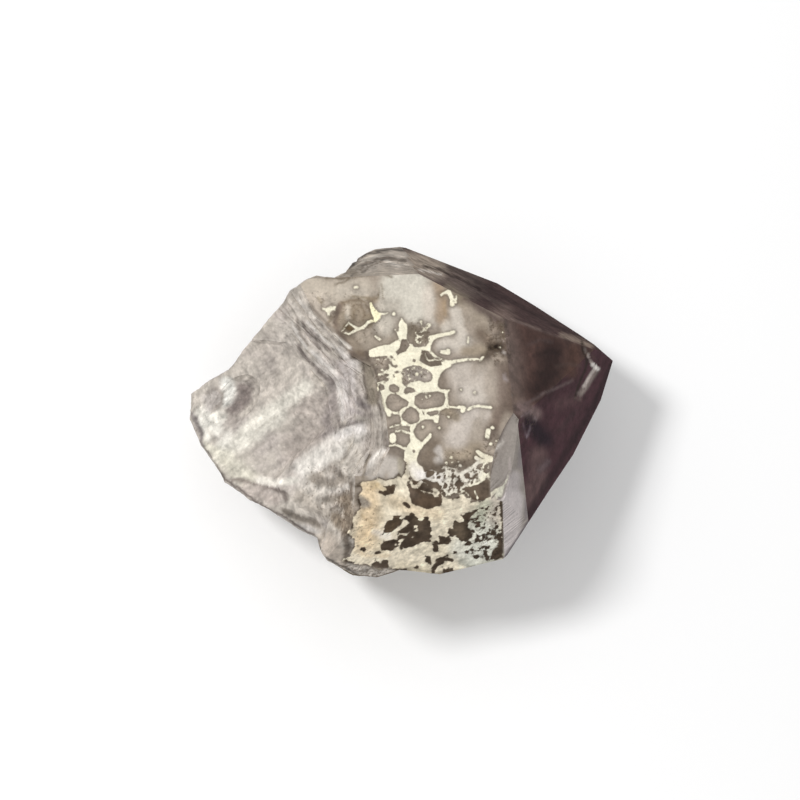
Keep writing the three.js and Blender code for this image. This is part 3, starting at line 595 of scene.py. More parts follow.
# Threads of the film: width at each end, then the path.
CREAM_LINES = [
    (0.66, 0.56, 5, 10.3, 6.1, 10.6, 7.3, 10.9, 8.3, 11, 9, 11.3),
    (0.4, 0.66, 4, 11.4, 4.5, 12.2, 4.8, 12.4), (0.27, 0.3, 3.3, 11.1, 4.1, 11.8),
    (0.23, 0.23, 4.1, 7.8, 4.6, 6.5, 6.8, 6.7),
    (0.76, 0.33, 7.3, 6.1, 8.6, 6.3, 10, 6.6, 11.6, 6.7, 13.1, 6.8), (0.4, 0.43, 13.3, 6.5, 13.8, 7.1),
    (0.36, 0.33, 6.6, -1.3, 8.3, -1.2, 10, -1.3), (0.56, 0.73, 9.8, -1.2, 10.6, -1.3, 10.4, -1.8),
    (0.43, 0.46, 11.3, -1.6, 11.9, -1.2, 12.9, -1, 14.1, -1.1, 15.1, -1.3),
    (0.4, 0.5, 5.1, -5.7, 4, -7, 3.2, -8.1), (0.4, 0.33, -0.8, -2.2, 0.2, -2.2, 0.7, -1.7),
    (0.4, 0.56, -2.3, -1.7, -1.7, -2.5), (0.23, 0.33, -1.7, -4.6, -0.7, -4.2, 0.3, -4.2),
    (0.27, 0.4, -0.7, -5.2, 0.5, -5.1, 1.7, -5.6), (1, 1.09, -1.2, -6, -1.2, -6.6),
    (0.3, 0.43, -1.8, -7.6, -0.7, -7.4, 1, -8.1),
    (0.73, 0.4, 15.4, -9.8, 14.3, -10, 13.1, -10.3, 12.3, -10.9, 11.6, -11.6, 10.8, -11.9,
        10.1, -12.4, 10.3, -13.4),
    (0.66, 1, 12.9, -8.6, 13.9, -9.3, 15.1, -9.8), (0.66, 0.66, 12.6, -9.6, 13.3, -10),
    (0.83, 0.73, 14.6, -5.1, 14.5, -6.1), (0.43, 0.23, 16.3, -7.8, 17.1, -6.8),
    (0.23, 0.2, 15.9, -6.8, 17.1, -6.3), (0.5, 1, 6.8, 8, 7.6, 7.9, 7.9, 8),
    (0.3, 0.33, 11.3, 10.4, 11.3, 9.5), (0.73, 0.5, 8.1, 17.9, 8.6, 16.7, 8.5, 15.8),
    (0.4, 0.33, 9.3, 17.1, 9.3, 16.3, 8.8, 15.6), (0.33, 0.5, 6.8, 17.4, 8.1, 18.1),
    (0.33, 0.43, -12.9, 15.2, -11.9, 14.8, -10.8, 15.4), (0.27, 0.27, -11.4, 15.8, -10.9, 14.8),
    (0.76, 0.3, -11.9, 15.1, -11.8, 13.8), (0.33, 1.24, -4.9, 16.1, -4.5, 14.9, -3.8, 13.9),
    (0.93, 0.5, -3.8, 13.9, -4.1, 13.1), (0.4, 0.17, -3.6, 14.3, -2, 14.4),
    (0.27, 0.4, -9.1, 11.1, -8.5, 10.9, -7.6, 11.4, -6.6, 11.8),
    (0.3, 0.56, -8.5, 12.8, -7.8, 12.3, -7, 11.8, -6.1, 12, -5.3, 12.8, -4.7, 13.1),
    (0.2, 0.23, -8.5, 12.9, -9.1, 12.1, -9.6, 11.4), (0.4, 0.4, -4, 10.5, -3.3, 10),
    (0.4, 0.4, -7.5, 18.7, -7.1, 18.7),
    (0.56, 0.56, 1.5, -13.3, 2.2, -14.3, 3, -14.6, 3.6, -13.6, 4.3, -13.8, 5.1, -14.8, 6.3, -15.3),
    (0.43, 0.6, 3.5, -15.1, 4.6, -15.3, 6, -15.9), (0.5, 0.5, 4, -12.9, 5.3, -13.4, 6.6, -13.3),
    (0.2, 0.2, 10.4, -14.9, 11.1, -15.6, 11.8, -16.4), (0.36, 0.33, 12.1, -14, 12.8, -13.9, 13.6, -13.4),
    (0.23, 0.3, 12.4, -15.1, 12.9, -16.3),
]
# Threads of crust on the frosted corner, given like those of the film.
SEAM = [
    (0.23, 0.43, 18.2, -11.9, 17.7, -13.3, 17.1, -14.4), (0.43, 0.66, 17.1, -14.4, 16.7, -15.8),
    (0.5, 0.73, 17.1, -14.4, 15.9, -15.1, 14.4, -16.4), (0.5, 0.66, 16.6, -15.3, 15.6, -16.6),
]
# Round spots of the film: place right and up, and radius.
CREAM_SPOTS = [
    (15.3, -4.6, 0.32), (15.1, -7.3, 0.3), (7.7, -10.4, 0.25), (10, -10.9, 0.27), (3.5, 13, 0.23),
    (-1, 14.3, 0.3), (10.1, 1.7, 0.22), (12.4, 1.2, 0.27), (8, -2.8, 0.23), (3.8, -4.5, 0.23),
    (6.5, -4.6, 0.23), (5, 0.7, 0.22), (2.8, 4.3, 0.28), (2.3, 5.3, 0.2), (3.5, 4.5, 0.18),
    (1.5, 4.1, 0.17), (3, 9.6, 0.22), (1.7, 0.8, 0.17), (-0.8, 11.6, 0.18),
]

# The lacy patch between the network and the crust, and the dark bowls in it.
LACE = path(
    4, -11.1, 5.5, -11.8, 7.6, -10.9, 10.1, -11.9, 12.1, -10.9, 14.6, -10.3, 14.9, -13.4, 14.6, -16.4,
    11.6, -16.9, 9.6, -16.1, 7.6, -16.7, 6.3, -16.3, 5.6, -14.3, 4.3, -12.9)
BOWLS = [
    path(1.2, -13.8, 1.7, -12.8, 2.3, -13.3, 3.3, -13.3, 4.3, -12.9, 5.3, -12.9, 6.3, -13.6,
        6.8, -14.6, 7.1, -15.9, 7, -17.1, 6, -17.7, 4.6, -18.1, 3.3, -17.7, 2.3, -17.1, 1.8, -16.4,
        1.5, -15.4, 1.2, -14.6),
    path(10.1, -14.8, 10.8, -15.3, 11.6, -16.3, 12.6, -16.7, 13.9, -16.6, 14.6, -16.3, 14.8, -14.9,
        14.6, -13.3, 13.6, -13.4, 12.3, -13.8, 11.8, -14.4, 10.9, -14.4),
    path(4.1, -11.6, 5.6, -11.8, 5.5, -12.6, 4.6, -12.9),
]

# Outline of the chalky crust below the network.
CRUST = path(
    -7.5, -14.3, -6.5, -13.6, -4.6, -13.4, -3.5, -12.8, -2.3, -13.3, -1, -12.9, -0.2, -12.1, 0.3, -12.9,
    0.8, -11.3, 1, -10, 1.7, -10.9, 1.7, -12.9, 3.3, -13.1, 5, -13.9, 6.3, -14.8, 7.3, -16.1, 8.6, -16.4,
    10.1, -15.8, 11.9, -16.9, 13.9, -16.6, 14.9, -16.1, 16.1, -15.8, 17.1, -15.3, 17.2, -23.2,
    17.1, -26.9, 16.1, -29.9, -0.2, -29.9, -0.8, -28.2, -2.3, -27.9, -3.6, -28.2, -5.3, -27.5, -7, -27.4,
    -8.3, -27, -9.6, -26.7, -8.3, -26, -8, -25.2, -7.6, -24, -7.5, -23.2, -8.6, -22.4, -9.1, -21.9,
    -8.1, -21.4, -8, -20.4, -7.8, -19.4, -7.1, -18.6, -6.6, -17.9, -7.1, -16.6, -7, -15.6, -6.1, -15.3,
    -6.5, -14.4)
# Bare quartz under the crust.
FOOT = path(-10, -26.5, -8, -27, -5.3, -27.5, 0, -28.2, 0, -30.7, -10, -30.7)
# The dark quartz that shows through the crust.
WINDOWS = [
    path(-1, -19.1, 0, -19.1, 0.5, -19.7, 0.3, -20.6, -0.5, -21.1, -0.7, -21.7, -1.7, -22.1,
        -2.8, -22.2, -2.5, -20.9, -2.3, -20.1, -1.3, -19.9),
    path(1, -19.6, 2, -18.7, 2.8, -19.6, 3.5, -20.1, 4, -19.4, 4.6, -19.6, 5, -20.6, 5.1, -22.4,
        5, -23.4, 3.3, -23.7, 2.5, -24, 1.3, -24.4, -0.2, -24.6, 0.3, -23.7, 0.7, -23.2, -0.3, -22.9,
        -0.3, -21.9, 0.7, -20.9, 1.7, -20.4),
    path(-3.5, -23.7, -3, -24, -2.7, -23.4, -1.5, -23.1, -0.3, -23.4, -0.3, -24.2, -1.2, -25,
        -2.3, -25, -3.2, -24.7),
    path(-2.8, -14.3, -2, -14.3, -1.5, -13.9, -0.8, -14, -0.8, -14.8, -1.2, -15.5, -2.5, -15.6,
        -3.5, -15.5, -3.3, -14.9, -2.8, -15.3, -2, -14.9, -2.2, -14.6),
    path(9, -20.1, 9.8, -20.4, 10.6, -20.2, 10.4, -19.6, 10.1, -19.1, 10.8, -19.2, 11.4, -18.7,
        12.1, -18.4, 12.8, -18.2, 12.3, -18.9, 11.8, -19.4, 11.4, -20.1, 11.1, -20.6, 10.9, -21.4,
        11.8, -21.9, 11.9, -22.6, 10.9, -23.4, 10, -23.2, 9.3, -22.6, 8.5, -22.6, 8, -21.9, 8.1, -21.2,
        8.8, -21.4),
    path(6.6, -22.6, 7.6, -22.7, 8.3, -22.6, 8.5, -23.5, 8.1, -24, 7.1, -23.9, 6.3, -24, 6.3, -25,
        5.6, -25, 5.5, -24, 6, -23.2, 6.5, -23.7),
    path(-4.5, -27.5, -4.1, -26.5, -3.6, -26.9, -3.2, -27.2, -2.7, -26.7, -2.2, -26.4, -2, -27.4,
        -2, -28.4, -3.3, -27.9, -4.3, -28),
    path(-7.3, -27.7, -6.3, -27.4, -5.6, -27.2, -5, -27.7, -4.1, -28.4, -2.3, -28.7, -2.3, -30.2,
        -9.3, -30.2, -9, -28.5),
    path(4.3, -25.9, 5.1, -26, 5.1, -26.9, 5, -27.2, 4.5, -26.7),
    path(6, -26.5, 6.6, -26.1, 7.8, -26, 8.8, -26.5, 8.6, -26.9, 7.8, -26.5, 7.1, -26.7, 6.8, -27,
        6.3, -27.2, 6, -28, 5.6, -28.9, 5.1, -28.9, 5.5, -27.7, 5.8, -27),
    path(7, -27.7, 7.6, -28, 8.8, -27.9, 8.8, -28.5, 7.8, -28.7, 7.1, -28.4),
    path(16.1, -22.4, 16.9, -22.2, 17.1, -24.9, 16.9, -25.9, 15.9, -26.4, 15.1, -26.4, 15.4, -25,
        16.1, -24.4, 16.3, -23.4),
    path(13.9, -25, 14.4, -25.2, 14.8, -26.4, 14.4, -26.5, 14.1, -25.9),
    path(15.1, -21.6, 15.8, -21.7, 15.6, -22.4, 15.1, -22.2),
    path(12.3, -20.7, 12.9, -20.1, 13.4, -20.6, 13.4, -21.1, 12.6, -21.1),
    path(11.3, -23.4, 11.8, -23.7, 11.6, -24.2, 10.9, -24),
]
# Strokes on the bare quartz in bowls and windows.
BOWL_STROKES = [
    ("#6A5C4C", 1.49, 1.33, 0.8, 3, -20.2, 4, -21.6),
    ("#6E604F", 1.99, 1.49, 0.8, 9, -20.9, 10.3, -22.2),
    ("#61513F", 1.33, 1.16, 0.7, -1.7, -19.7, -1.7, -21.2),
    ("#3D3025", 1.49, 1.16, 0.8, -2.7, -24.2, -1, -24),
    ("#A09486", 2.32, 1, 0.85, -9, -28.9, -6.3, -28.2, -2.7, -29.2),
    ("#5C4F43", 1.49, 0.66, 0.7, -4, -27.4, -2.3, -27.2),
    ("#6A5D50", 4.98, 1.33, 0.75, 6.3, -13.6, 10, -14.3, 13.6, -12.6),
    ("#5A4B39", 1.33, 1, 0.7, -2, -21.6, -0.5, -19.9),
    ("#55483C", 1.49, 1.16, 0.6, 4, -20.6, 4, -22.9),
    ("#5B4E42", 0.66, 0.66, 0.6, -2.7, -24.2, -1.3, -24.2),
    ("#63564A", 1.33, 1, 0.8, 1.5, -13.9, 1.8, -15.3, 2.7, -16.3),
    ("#58493B", 1.33, 1, 0.8, 2.7, -16.9, 5, -17.1, 6.3, -16.3),
    ("#63564A", 1.33, 1, 0.8, 12.9, -14.3, 14.1, -14.6, 13.9, -15.9),
    ("#7A6E60", 1.49, 1.16, 0.9, 12.3, -10.6, 14.3, -11.6, 13.6, -12.9),
]
# Round spots of bare quartz in the crust, and thin bare lines: width, then the path.
WINDOW_SPOTS = [
    (-6.1, -24.7, 0.28), (9.1, -25.2, 0.22), (12.6, -26, 0.27), (12.6, -23.1, 0.23), (2.8, -27.7, 0.27),
    (11.1, -25.2, 0.17), (3.5, -21.6, 0.17),
]
DARK_LINES = [
    (0.3, 14.9, -23.1, 15.8, -22.8), (0.33, -0.7, -28.2, 0.7, -28.4), (0.3, 0.7, -17.2, 1.5, -17.7),
    (0.4, 16.8, -16.7, 17, -19.9, 17.1, -26), (0.2, -4, -25.4, -2.8, -25.2),
]
# Where the crust is eaten through by fine threads.
EATEN = path(10.9, -18.6, 13.3, -17.1, 16.9, -16.9, 17.1, -26.5, 13.3, -26.9, 10.3, -25.9, 11.6, -23.2)
# Threads of crust across its windows, given like those of the film.
VEINS = [
    (0.43, 0.36, 0.3, -19.6, 1.2, -20.2, 0.5, -21.2, -0.7, -21.7),
    (0.36, 0.2, -0.3, -22, 0.8, -22.2, 1.8, -21.7, 3, -21.6),
    (0.2, 0.13, -0.3, -23, 1, -23.1, 2.3, -22.7), (0.43, 0.43, 2.5, -20.9, 2.7, -21),
    (0.43, 0.43, -0.8, -23.9, -0.7, -24),
]
# Where dark grains lie thick: outline and share.
DUSTY = [
    (path(14.6, 13.9, 17.9, 13.3, 18.9, 6.3, 15.6, 5.6, 13.9, 8), 0.9),
    (path(13.9, -5, 16.6, -5.6, 15.9, -10.6, 13.3, -8.6), 0.8),
    (path(6.3, -8.6, 11.6, -7.6, 12.9, -11.9, 6.3, -11.9), 0.7),
    (path(-16.6, 18.2, -2.3, 17.9, -2, 9.1, -10, 9), 0.55),
    (path(1.3, 13.3, 5.3, 12.9, 5, 9, 1.7, 9), 0.8), (CELLS[2], 0.8), (CELLS[8], 0.5),
    (path(-5, 7.6, -1.3, 7.3, -1.7, 2.7, -4, 1.3), 0.8),
    (path(6.3, -0.7, 10.9, -1.3, 9.3, -3.6, 6.3, -3.3), 0.6),
    (path(-15.6, -10.6, -8.3, -10.3, -7.6, -21.6, -10.9, -21.6, -16.6, -15.9), 0.6), (EATEN, 0.7),
    (path(-11.6, -15.8, -8, -13.9, -7.3, -21.6, -9.6, -23.2), 0.9),
    (path(-9.1, -13.3, -3.3, -12.9, -4.6, -26.5, -9.1, -26.5), 0.6), (FOOT, 0.9),
    (path(18.2, -0.8, 22.6, -0.8, 22.6, -6.6, 19.9, -7.3), 0.6),
    (path(29.9, 10, 33.2, 6.6, 31.8, 5.6, 30.2, 7.3), 0.7),
    (path(-8.3, 22.9, -1.3, 24.5, 10, 21.2, 8.6, 19.9, -3.3, 21.9, -8, 19.9), 0.6),
    (path(-17.2, 1.3, -11.3, 2.7, -10.3, -5, -14.9, -7.6, -18.2, -5), 0.4),
    (path(-34.8, 0.7, -24.2, 4, -24.2, -2, -34.2, -6.6), 0.4),
]
# Strokes on the film and the crust.
# The dark lines along the crust's lower outline are painted shade.
COAT_TONE_AND_SHADE_STROKES = [
    ("#CEC5B0", 1.66, 1.33, 0.7, 12.9, -9.8, 14.9, -9.5),
    # Painted shade along the lower outline.
    ("#857C6C", 0.56, 0.5, 0.85, -2.3, -28.7, 0.3, -28.2, 3, -28.2, 6.3, -28.8, 10, -28.4, 13.6, -27.9),
    ("#BFB5A0", 2.32, 1.66, 0.7, 5, -24, 8.3, -25.4, 6.6, -26.5),
    ("#BFB196", 1.49, 1, 0.5, -4.6, -21.6, -2.7, -25.2, -4.6, -24),
    # Painted shade along the lower outline.
    ("#8C897B", 1, 0.5, 0.9, 10.1, -26.9, 11.6, -27.5, 13.6, -27.4, 15.3, -26.7, 17.1, -25.5),
    ("#8F8576", 0.83, 0.66, 0.6, 0, -17.2, 1.7, -17.6),
    ("#C2A77C", 0.5, 0.5, 0.6, -6.3, -19.1, -4.6, -20.6, -5.6, -22.2),
    ("#B89F78", 0.4, 0.33, 0.7, -3.6, -13.9, -4.6, -14.9, -5.6, -14.8),
    ("#C9B597", 0.5, 0.5, 0.6, -7.3, -25.2, -5, -25.9, -1.7, -25.9),
    ("#CFC9BC", 4.31, 1.33, 0.9, 5, -11.6, 8.3, -13.3, 11.6, -11.6),
    ("#E2C9A4", 3.65, 2.99, 0.8, -5.3, -14.9, -5, -19.1, -6, -23.2),
    ("#E6D3B4", 2.32, 1.66, 0.7, -1.3, -16.6, 3.3, -18.6, 6, -18.9),
    ("#CDCEC2", 3.98, 2.32, 0.8, 12.9, -20.6, 14.9, -22.2, 14.3, -24.9, 12.3, -25.9),
    ("#ADAE9B", 2.65, 1.99, 0.85, 14.3, -17.6, 12.9, -19.4),
    ("#CFCEC2", 3.98, 2.65, 0.8, 10.3, -24.5, 13.9, -24),
    ("#B0A79D", 1.99, 1.33, 0.7, 15.9, -16.6, 15.6, -19.9),
    ("#A69D92", 1.49, 0.83, 0.85, -6.6, -16.6, -5.6, -17.2),
    ("#DBD4CC", 1.99, 1.33, 0.8, 2.3, -11.3, 3.2, -12.6),
    ("#DCD7D3", 1.66, 1.33, 0.6, 4, -12.3, 6.6, -12.9),
    ("#C9C6B6", 1.33, 0.66, 0.9, 18.2, -11.6, 16.6, -15.8),
    ("#DDD5B8", 1, 0.5, 0.8, 8.6, -2.3, 9.6, -2.5),
    ("#EDE6BE", 1.66, 0.66, 0.8, -5, 16.1, -4, 14.3, -4, 13.1),
    ("#BFB49B", 1.66, 1.33, 0.5, 0, -27.4, 5, -28.5),
    ("#C9B48E", 1, 1, 0.6, -4.6, -13.9, -2.3, -14.9),
    ("#E9E2DA", 1, 0.83, 0.5, -4.3, -21.9, -2, -22.6),
]
# The chip beside the tip, and where the growth lines lie.
CHIP = path(32.7, 5.6, 31.8, 4.1, 30.7, 2.5, 29.9, 1)
CHIP_WIDTH = 0.7
LINES_TOP = -12.0  # the flake's growth lines start here and are full LINES_EASE lower
LINES_EASE = 2.4

# Strokes on the tip, its crown, the brow and the frosted corner.
# On the tip, the dark band along its right outline is painted shade, and the chip's light left side a
# painted highlight.
TIP_TONE_AND_SHADE_STROKES = [
    ("#806F67", 3.98, 3.98, 0.95, 16.6, 12.9, 17.9, 6.6, 18.2, -0.7),
    ("#7A685E", 1.66, 1.33, 0.8, 18.6, 0.7, 19.9, -0.7),
    ("#33211E", 3.65, 2.99, 0.9, 25.2, 8.3, 24.9, 4.6, 23.2, 2),
    ("#5E4339", 1.99, 1.66, 0.8, 28.9, 8, 28.5, 4.6),
    ("#86726F", 1.99, 1.66, 0.9, 20.2, -1.3, 22.4, -2.3),
    ("#6F5F5D", 0.43, 0.5, 0.8, 20.7, -0.8, 24, 1.2, 26.5, 2.2, 28.5, 3.2),
    ("#75655F", 0.4, 0.33, 0.8, 17.4, 13.8, 19.9, 12.9, 23.2, 11.6),
    ("#63544F", 0.3, 0.33, 0.6, 23.2, 11.6, 26.5, 10.4, 29.9, 9.3),
    ("#241520", 2.65, 1.99, 0.9, 21.6, -4, 22.9, -5.3, 24, -6.6),
    ("#5E4446", 1.99, 1.66, 0.8, 26.5, -0.7, 29.2, 0.2),
    ("#6A5352", 2.99, 1.99, 0.9, 22.9, -9.3, 22.9, -13.3, 20.9, -16.6),
    # Painted shade along the tip's right outline.
    ("#241519", 1, 0.66, 0.6, 35.2, 6, 32.5, -0.2, 28.5, -7.1, 24, -14.3, 18.6, -24),
    ("#8A7C84", 0.3, 0.27, 0.7, 21.6, -4.5, 21.1, -6.1),
    ("#8E7F80", 0.5, 0.33, 0.6, 22.3, -3, 22.5, -3.1),
    ("#9A8B84", 0.66, 0.33, 0.8, 18.2, 0.8, 18.3, 0.7),
    ("#2A2019", 0.4, 0.33, 0.85, 30.2, 9.6, 30.3, 8, 31, 6.6, 30.7, 5, 29.9, 3.3, 29.4, 1.7, 29, 0.3),
    ("#6E5D57", 0.33, 0.27, 0.7, 29, 0.3, 30, 0),
    ("#A0938C", 0.4, 0.27, 0.9, 30.7, 8.5, 30.8, 8),
    ("#C9BDB5", 0.43, 0.27, 0.9, 31.2, 7.6, 31.3, 7.1),
    ("#B5A8A0", 0.4, 0.27, 0.9, 31.5, 6.6, 31.8, 6.1),
    ("#8E827C", 0.93, 0.5, 0.95, 32.7, 5.1, 31.8, 3.8, 30.8, 2.3, 29.9, 1),
    # Painted highlight along the chip's left side.
    ("#D6CBC4", 0.5, 0.33, 0.95, 32.2, 5.1, 31.5, 4, 30.5, 2.3),
    ("#F4EEE8", 0.66, 0.33, 1, 32, 5.8, 32.8, 5.2),
    ("#6B5B62", 0.33, 0.33, 0.5, 20.4, -4, 20.7, -5.1, 21.1, -6.1),
    ("#8D7C84", 0.43, 0.27, 0.9, 20.9, -6, 21.1, -6.1),
    ("#6F5F66", 0.27, 0.27, 0.5, 21.7, -4.3, 21.6, -5),
    ("#7A6A6C", 0.36, 0.33, 0.7, 20.1, -2.7, 20.9, -2.2, 21.7, -1.8),
    ("#5E4E4C", 0.5, 0.5, 0.5, 21.2, 9.1, 23.2, 10, 25.2, 9.6),
    ("#2F1F1D", 0.66, 0.66, 0.6, 22.2, 7.3, 24.2, 8, 26.5, 7.6),
    ("#2F1F1D", 0.66, 0.66, 0.6, 22.2, 4.6, 24.5, 3.6, 25.9, 4.3),
    ("#5B4A44", 0.5, 0.5, 0.5, 25.9, 5.6, 27.9, 6, 29.9, 5.6),
    ("#6E5F62", 1, 0.83, 0.6, 23.2, -11.6, 24.5, -10.3),
    ("#4A383A", 0.83, 0.83, 0.5, 26.5, -5, 27.9, -3.3, 29, -2),
]
# The light line along the crown's edge with the front face is a painted highlight.
CROWN_TONE_AND_HIGHLIGHT_STROKES = [
    ("#8D8270", 1.16, 0.83, 0.8, 8, 18.9, 9.3, 18.1, 10.9, 16.9),
    ("#6A5E58", 4.31, 2.99, 0.85, 3.3, 22.9, 7.6, 21.2, 11.6, 18.9),
    ("#968A7E", 3.32, 2.32, 0.95, -0.3, 23.2, 3, 22.6, 6, 21.7),
    ("#3B3030", 2.32, 1.99, 0.7, 12.9, 18.6, 16.3, 16.3),
    ("#A39689", 0.83, 0.66, 0.8, 1.7, 23.9, 4.6, 23.4),
    ("#9C9084", 1.16, 1, 0.6, 4, 22.6, 6, 21.9),
    ("#C6BDB4", 0.36, 0.27, 0.8, 3.3, 21.6, 4.6, 21.4, 6.8, 20.9),
    ("#2A201F", 0.4, 0.33, 0.7, 4, 22.2, 6.6, 21.6, 10.3, 19.9, 13.3, 18.2),
    ("#5E524E", 0.5, 0.5, 0.5, 8.3, 20.6, 13.3, 17.6, 18.2, 15.1),
    ("#332A2A", 0.66, 0.5, 0.5, 8, 22.2, 14.9, 18.6, 23.2, 13.6, 32.5, 9),
    # Painted highlight along the crown's edge with the front face.
    ("#8A7B70", 1, 1, 0.9, 26.9, 10.6, 29.2, 9.8, 31.5, 9),
]
BROW_STROKES = [
    ("#CCC1B5", 1.82, 1.49, 0.6, -5.3, 22.2, -3, 23.2, -0.3, 23.9),
    ("#ABA094", 2.65, 1.66, 0.9, -2.5, 23.9, 0.7, 22.9, -0.7, 21.9),
    ("#958A7F", 1.66, 1.33, 0.9, 0.7, 24.9, 2.3, 22.9, 3.3, 21.2),
    ("#4C443E", 0.5, 0.43, 0.85, -8.3, 21.9, -7, 23.4, -5.3, 24.2, -3.3, 24.7, 0, 25, 2, 24.7,
        5, 23.9, 7.5, 22.9),
    ("#C9C0B4", 0.33, 0.33, 0.8, -6.3, 22.9, -4.6, 23.7, -2.7, 24),
    ("#CFC6BB", 0.46, 0.33, 0.8, -2.2, 23.1, -1.3, 22.7, -0.2, 22.1),
    ("#62574C", 0.43, 0.33, 0.85, -6.6, 21.6, -5.8, 22.6, -4.6, 22.9, -3.6, 23.5, -2.3, 23.5,
        -0.8, 23.4, 0.8, 23.1),
    ("#6A5F53", 0.3, 0.27, 0.8, -6.3, 21.2, -5, 22.2, -3.6, 22.9, -2.7, 23.1),
    ("#B9AFA4", 0.83, 0.66, 0.7, -1.3, 24.2, 0.7, 23.9),
    ("#7C7062", 1, 0.83, 0.7, -8.6, 21.2, -7.3, 20.9),
]
FROST_STROKES = [
    ("#9C938C", 1.33, 1, 0.6, 17.6, -6, 16.6, -9.3),
    ("#BFB7B5", 2.32, 1.33, 0.9, 18.9, -12.9, 18.6, -15.6),
    ("#D0C8C6", 3.65, 1.33, 0.95, 18.7, -16.6, 18.2, -20.7, 17.7, -25.5),
    ("#8B8385", 0.83, 0.83, 0.7, 20.1, -8, 19.9, -10.9),
    ("#665A54", 1.49, 0.83, 0.9, 18.4, -1.5, 16.9, -4, 15.9, -6.3),
    ("#8F8688", 0.5, 0.5, 0.8, 20.9, -16.6, 20.9, -19.6),
    ("#6A6366", 0.36, 0.33, 0.9, 21.2, -20.2, 19.9, -22.4, 18.4, -24.5, 17.2, -26.4),
    ("#6A5F55", 0.27, 0.23, 0.8, 16.1, -8.6, 14.9, -12.3, 14.4, -15.9),
    ("#B8ADA8", 0.27, 0.23, 0.8, 18.2, -9.5, 18.2, -12.3),
    ("#C9C2BA", 0.43, 0.27, 0.8, 16.1, -8, 17.1, -6.8),
]


def lay(tone, colour, weight):
    """Lays a colour over what is there."""
    tone += (np.array(linear(colour)) - tone) * weight[:, None]


def lay_strokes(tone, uv, strokes, where):
    """Lays each stroke where it is wanted, softly at its edges."""
    for colour, width, soft, strength, *line in strokes:
        away, _ = path_distance(uv, path(*line))
        lay(tone, colour, strength * where * smooth((width / 2 + soft / 2 - away) / soft))


REACH = 3.0  # depths are worked out this far from an outline, and are level beyond


def patch_depth(uv, ring, reach=REACH):
    """How far each point lies inside a closed outline, in millimetres, less than 0 outside it."""
    depth = np.full(len(uv), -reach)
    low, high = np.min(ring, axis=0) - reach, np.max(ring, axis=0) + reach
    close = np.all((uv > low) & (uv < high), axis=1)
    away, _ = path_distance(uv[close], ring + ring[:1])
    depth[close] = np.where(inside(uv[close], ring), away, -np.minimum(away, reach))
    return depth


def line_depth(uv, line, start, end, reach=REACH):
    """How far each point lies inside a line that goes from one width to another."""
    depth = np.full(len(uv), -reach)
    low, high = np.min(line, axis=0) - reach, np.max(line, axis=0) + reach
    close = np.all((uv > low) & (uv < high), axis=1)
    away, share = path_distance(uv[close], line)
    depth[close] = np.maximum((start + (end - start) * share) / 2 - away, -reach)
    return depth


def spot_depth(uv, spot):
    """How far each point lies inside a round spot."""
    return spot[2] - np.hypot(uv[:, 0] - spot[0], uv[:, 1] - spot[1])


# Threads left of the film and of the crust: how wide their mesh is, how thick and how sharp they are.
LACE_MESH, LACE_THREAD, LACE_SHARP = 1.15, 0.21, 0.85
EATEN_MESH, EATEN_THREAD, EATEN_SHARP = 1.5, 0.10, 1.5
LACE_RIM = 0.6  # how steeply the lace thins out at its rim
EATEN_RIM, EATEN_INSET = 1.2, 0.6


def lace_depth(uv):
    """A lacy patch of film: threads that thin out towards its rim."""
    spots = np.stack([uv[:, 0], uv[:, 1], np.zeros(len(uv))], 1)
    threads = LACE_THREAD - LACE_SHARP * np.abs(fractal(spots, LACE_MESH, 3, 5.0))
    return np.minimum(threads, LACE_RIM * patch_depth(uv, LACE))


def eaten_depth(uv):
    """Fine winding threads where the crust is gone, more than 0 on the crust that is left."""
    spots = np.stack([uv[:, 0], uv[:, 1], np.zeros(len(uv))], 1)
    left = EATEN_SHARP * np.abs(fractal(spots, EATEN_MESH, 3, 9.0)) - EATEN_THREAD
    return left - EATEN_RIM * np.minimum(patch_depth(uv, EATEN) - EATEN_INSET, 0)


def coat_cover(uv):
    """How far each point lies inside the cream film or the crust, less than 0 on bare quartz."""
    cover = np.maximum(patch_depth(uv, NETWORK), patch_depth(uv, CRUST))
    cover = np.maximum(cover, lace_depth(uv))
    cover = np.minimum(cover, eaten_depth(uv))
    for ring in CELLS + BOWLS + WINDOWS:
        cover = np.minimum(cover, -patch_depth(uv, ring))
    for width, *line in DARK_MARKS + DARK_LINES:
        cover = np.minimum(cover, -line_depth(uv, path(*line), width, width))
    for spot in WINDOW_SPOTS:
        cover = np.minimum(cover, -spot_depth(uv, spot))
    for start, end, *line in CREAM_LINES + VEINS:
        cover = np.maximum(cover, line_depth(uv, path(*line), start, end))
    for spot in CREAM_SPOTS:
        cover = np.maximum(cover, spot_depth(uv, spot))
    return cover


# Widths of clouds, lumps and specks, and how strongly the last two change each tone.
CLOUD, LUMP, SPECK = 6.0, 1.4, 0.55
GRAIN = {
    "root": (0.22, 0.20), "upper": (0.06, 0.07), "tip": (0.3, 0.2), "bare": (0.45, 0.25),
    "coat": (0.12, 0.14), "crust": (0.26, 0.2), "dust": (0.4, 0.25), "crust_edge": (0.3, 0.2),
}
# Painted edges waver by these shares of lumps this wide: broad strokes more, fine marks less.
WAVER, WIDE_WAVER, FINE_WAVER = 1.6, 0.3, 0.07

ROOT_SHADE = 0.86  # light that comes back from the broken quartz
# Painted shade in the relief's hollows and painted light on its lumps:
DIP_SHADE, DIP_LIMIT = 0.55, 0.6  # for each millimetre of relief, and the most relief that counts
SPLINTER_SHADE = 0.2
LAYER_SHADE = 0.55
LAYERS_END, LAYERS_FADE = 8.0, 10.0  # the brow's layers fade out over LAYERS_FADE, left of LAYERS_END
RIM_SHADE, RIM_WIDTH = 0.26, 0.9  # painted shade: dark rim of the bare cells beside the raised film
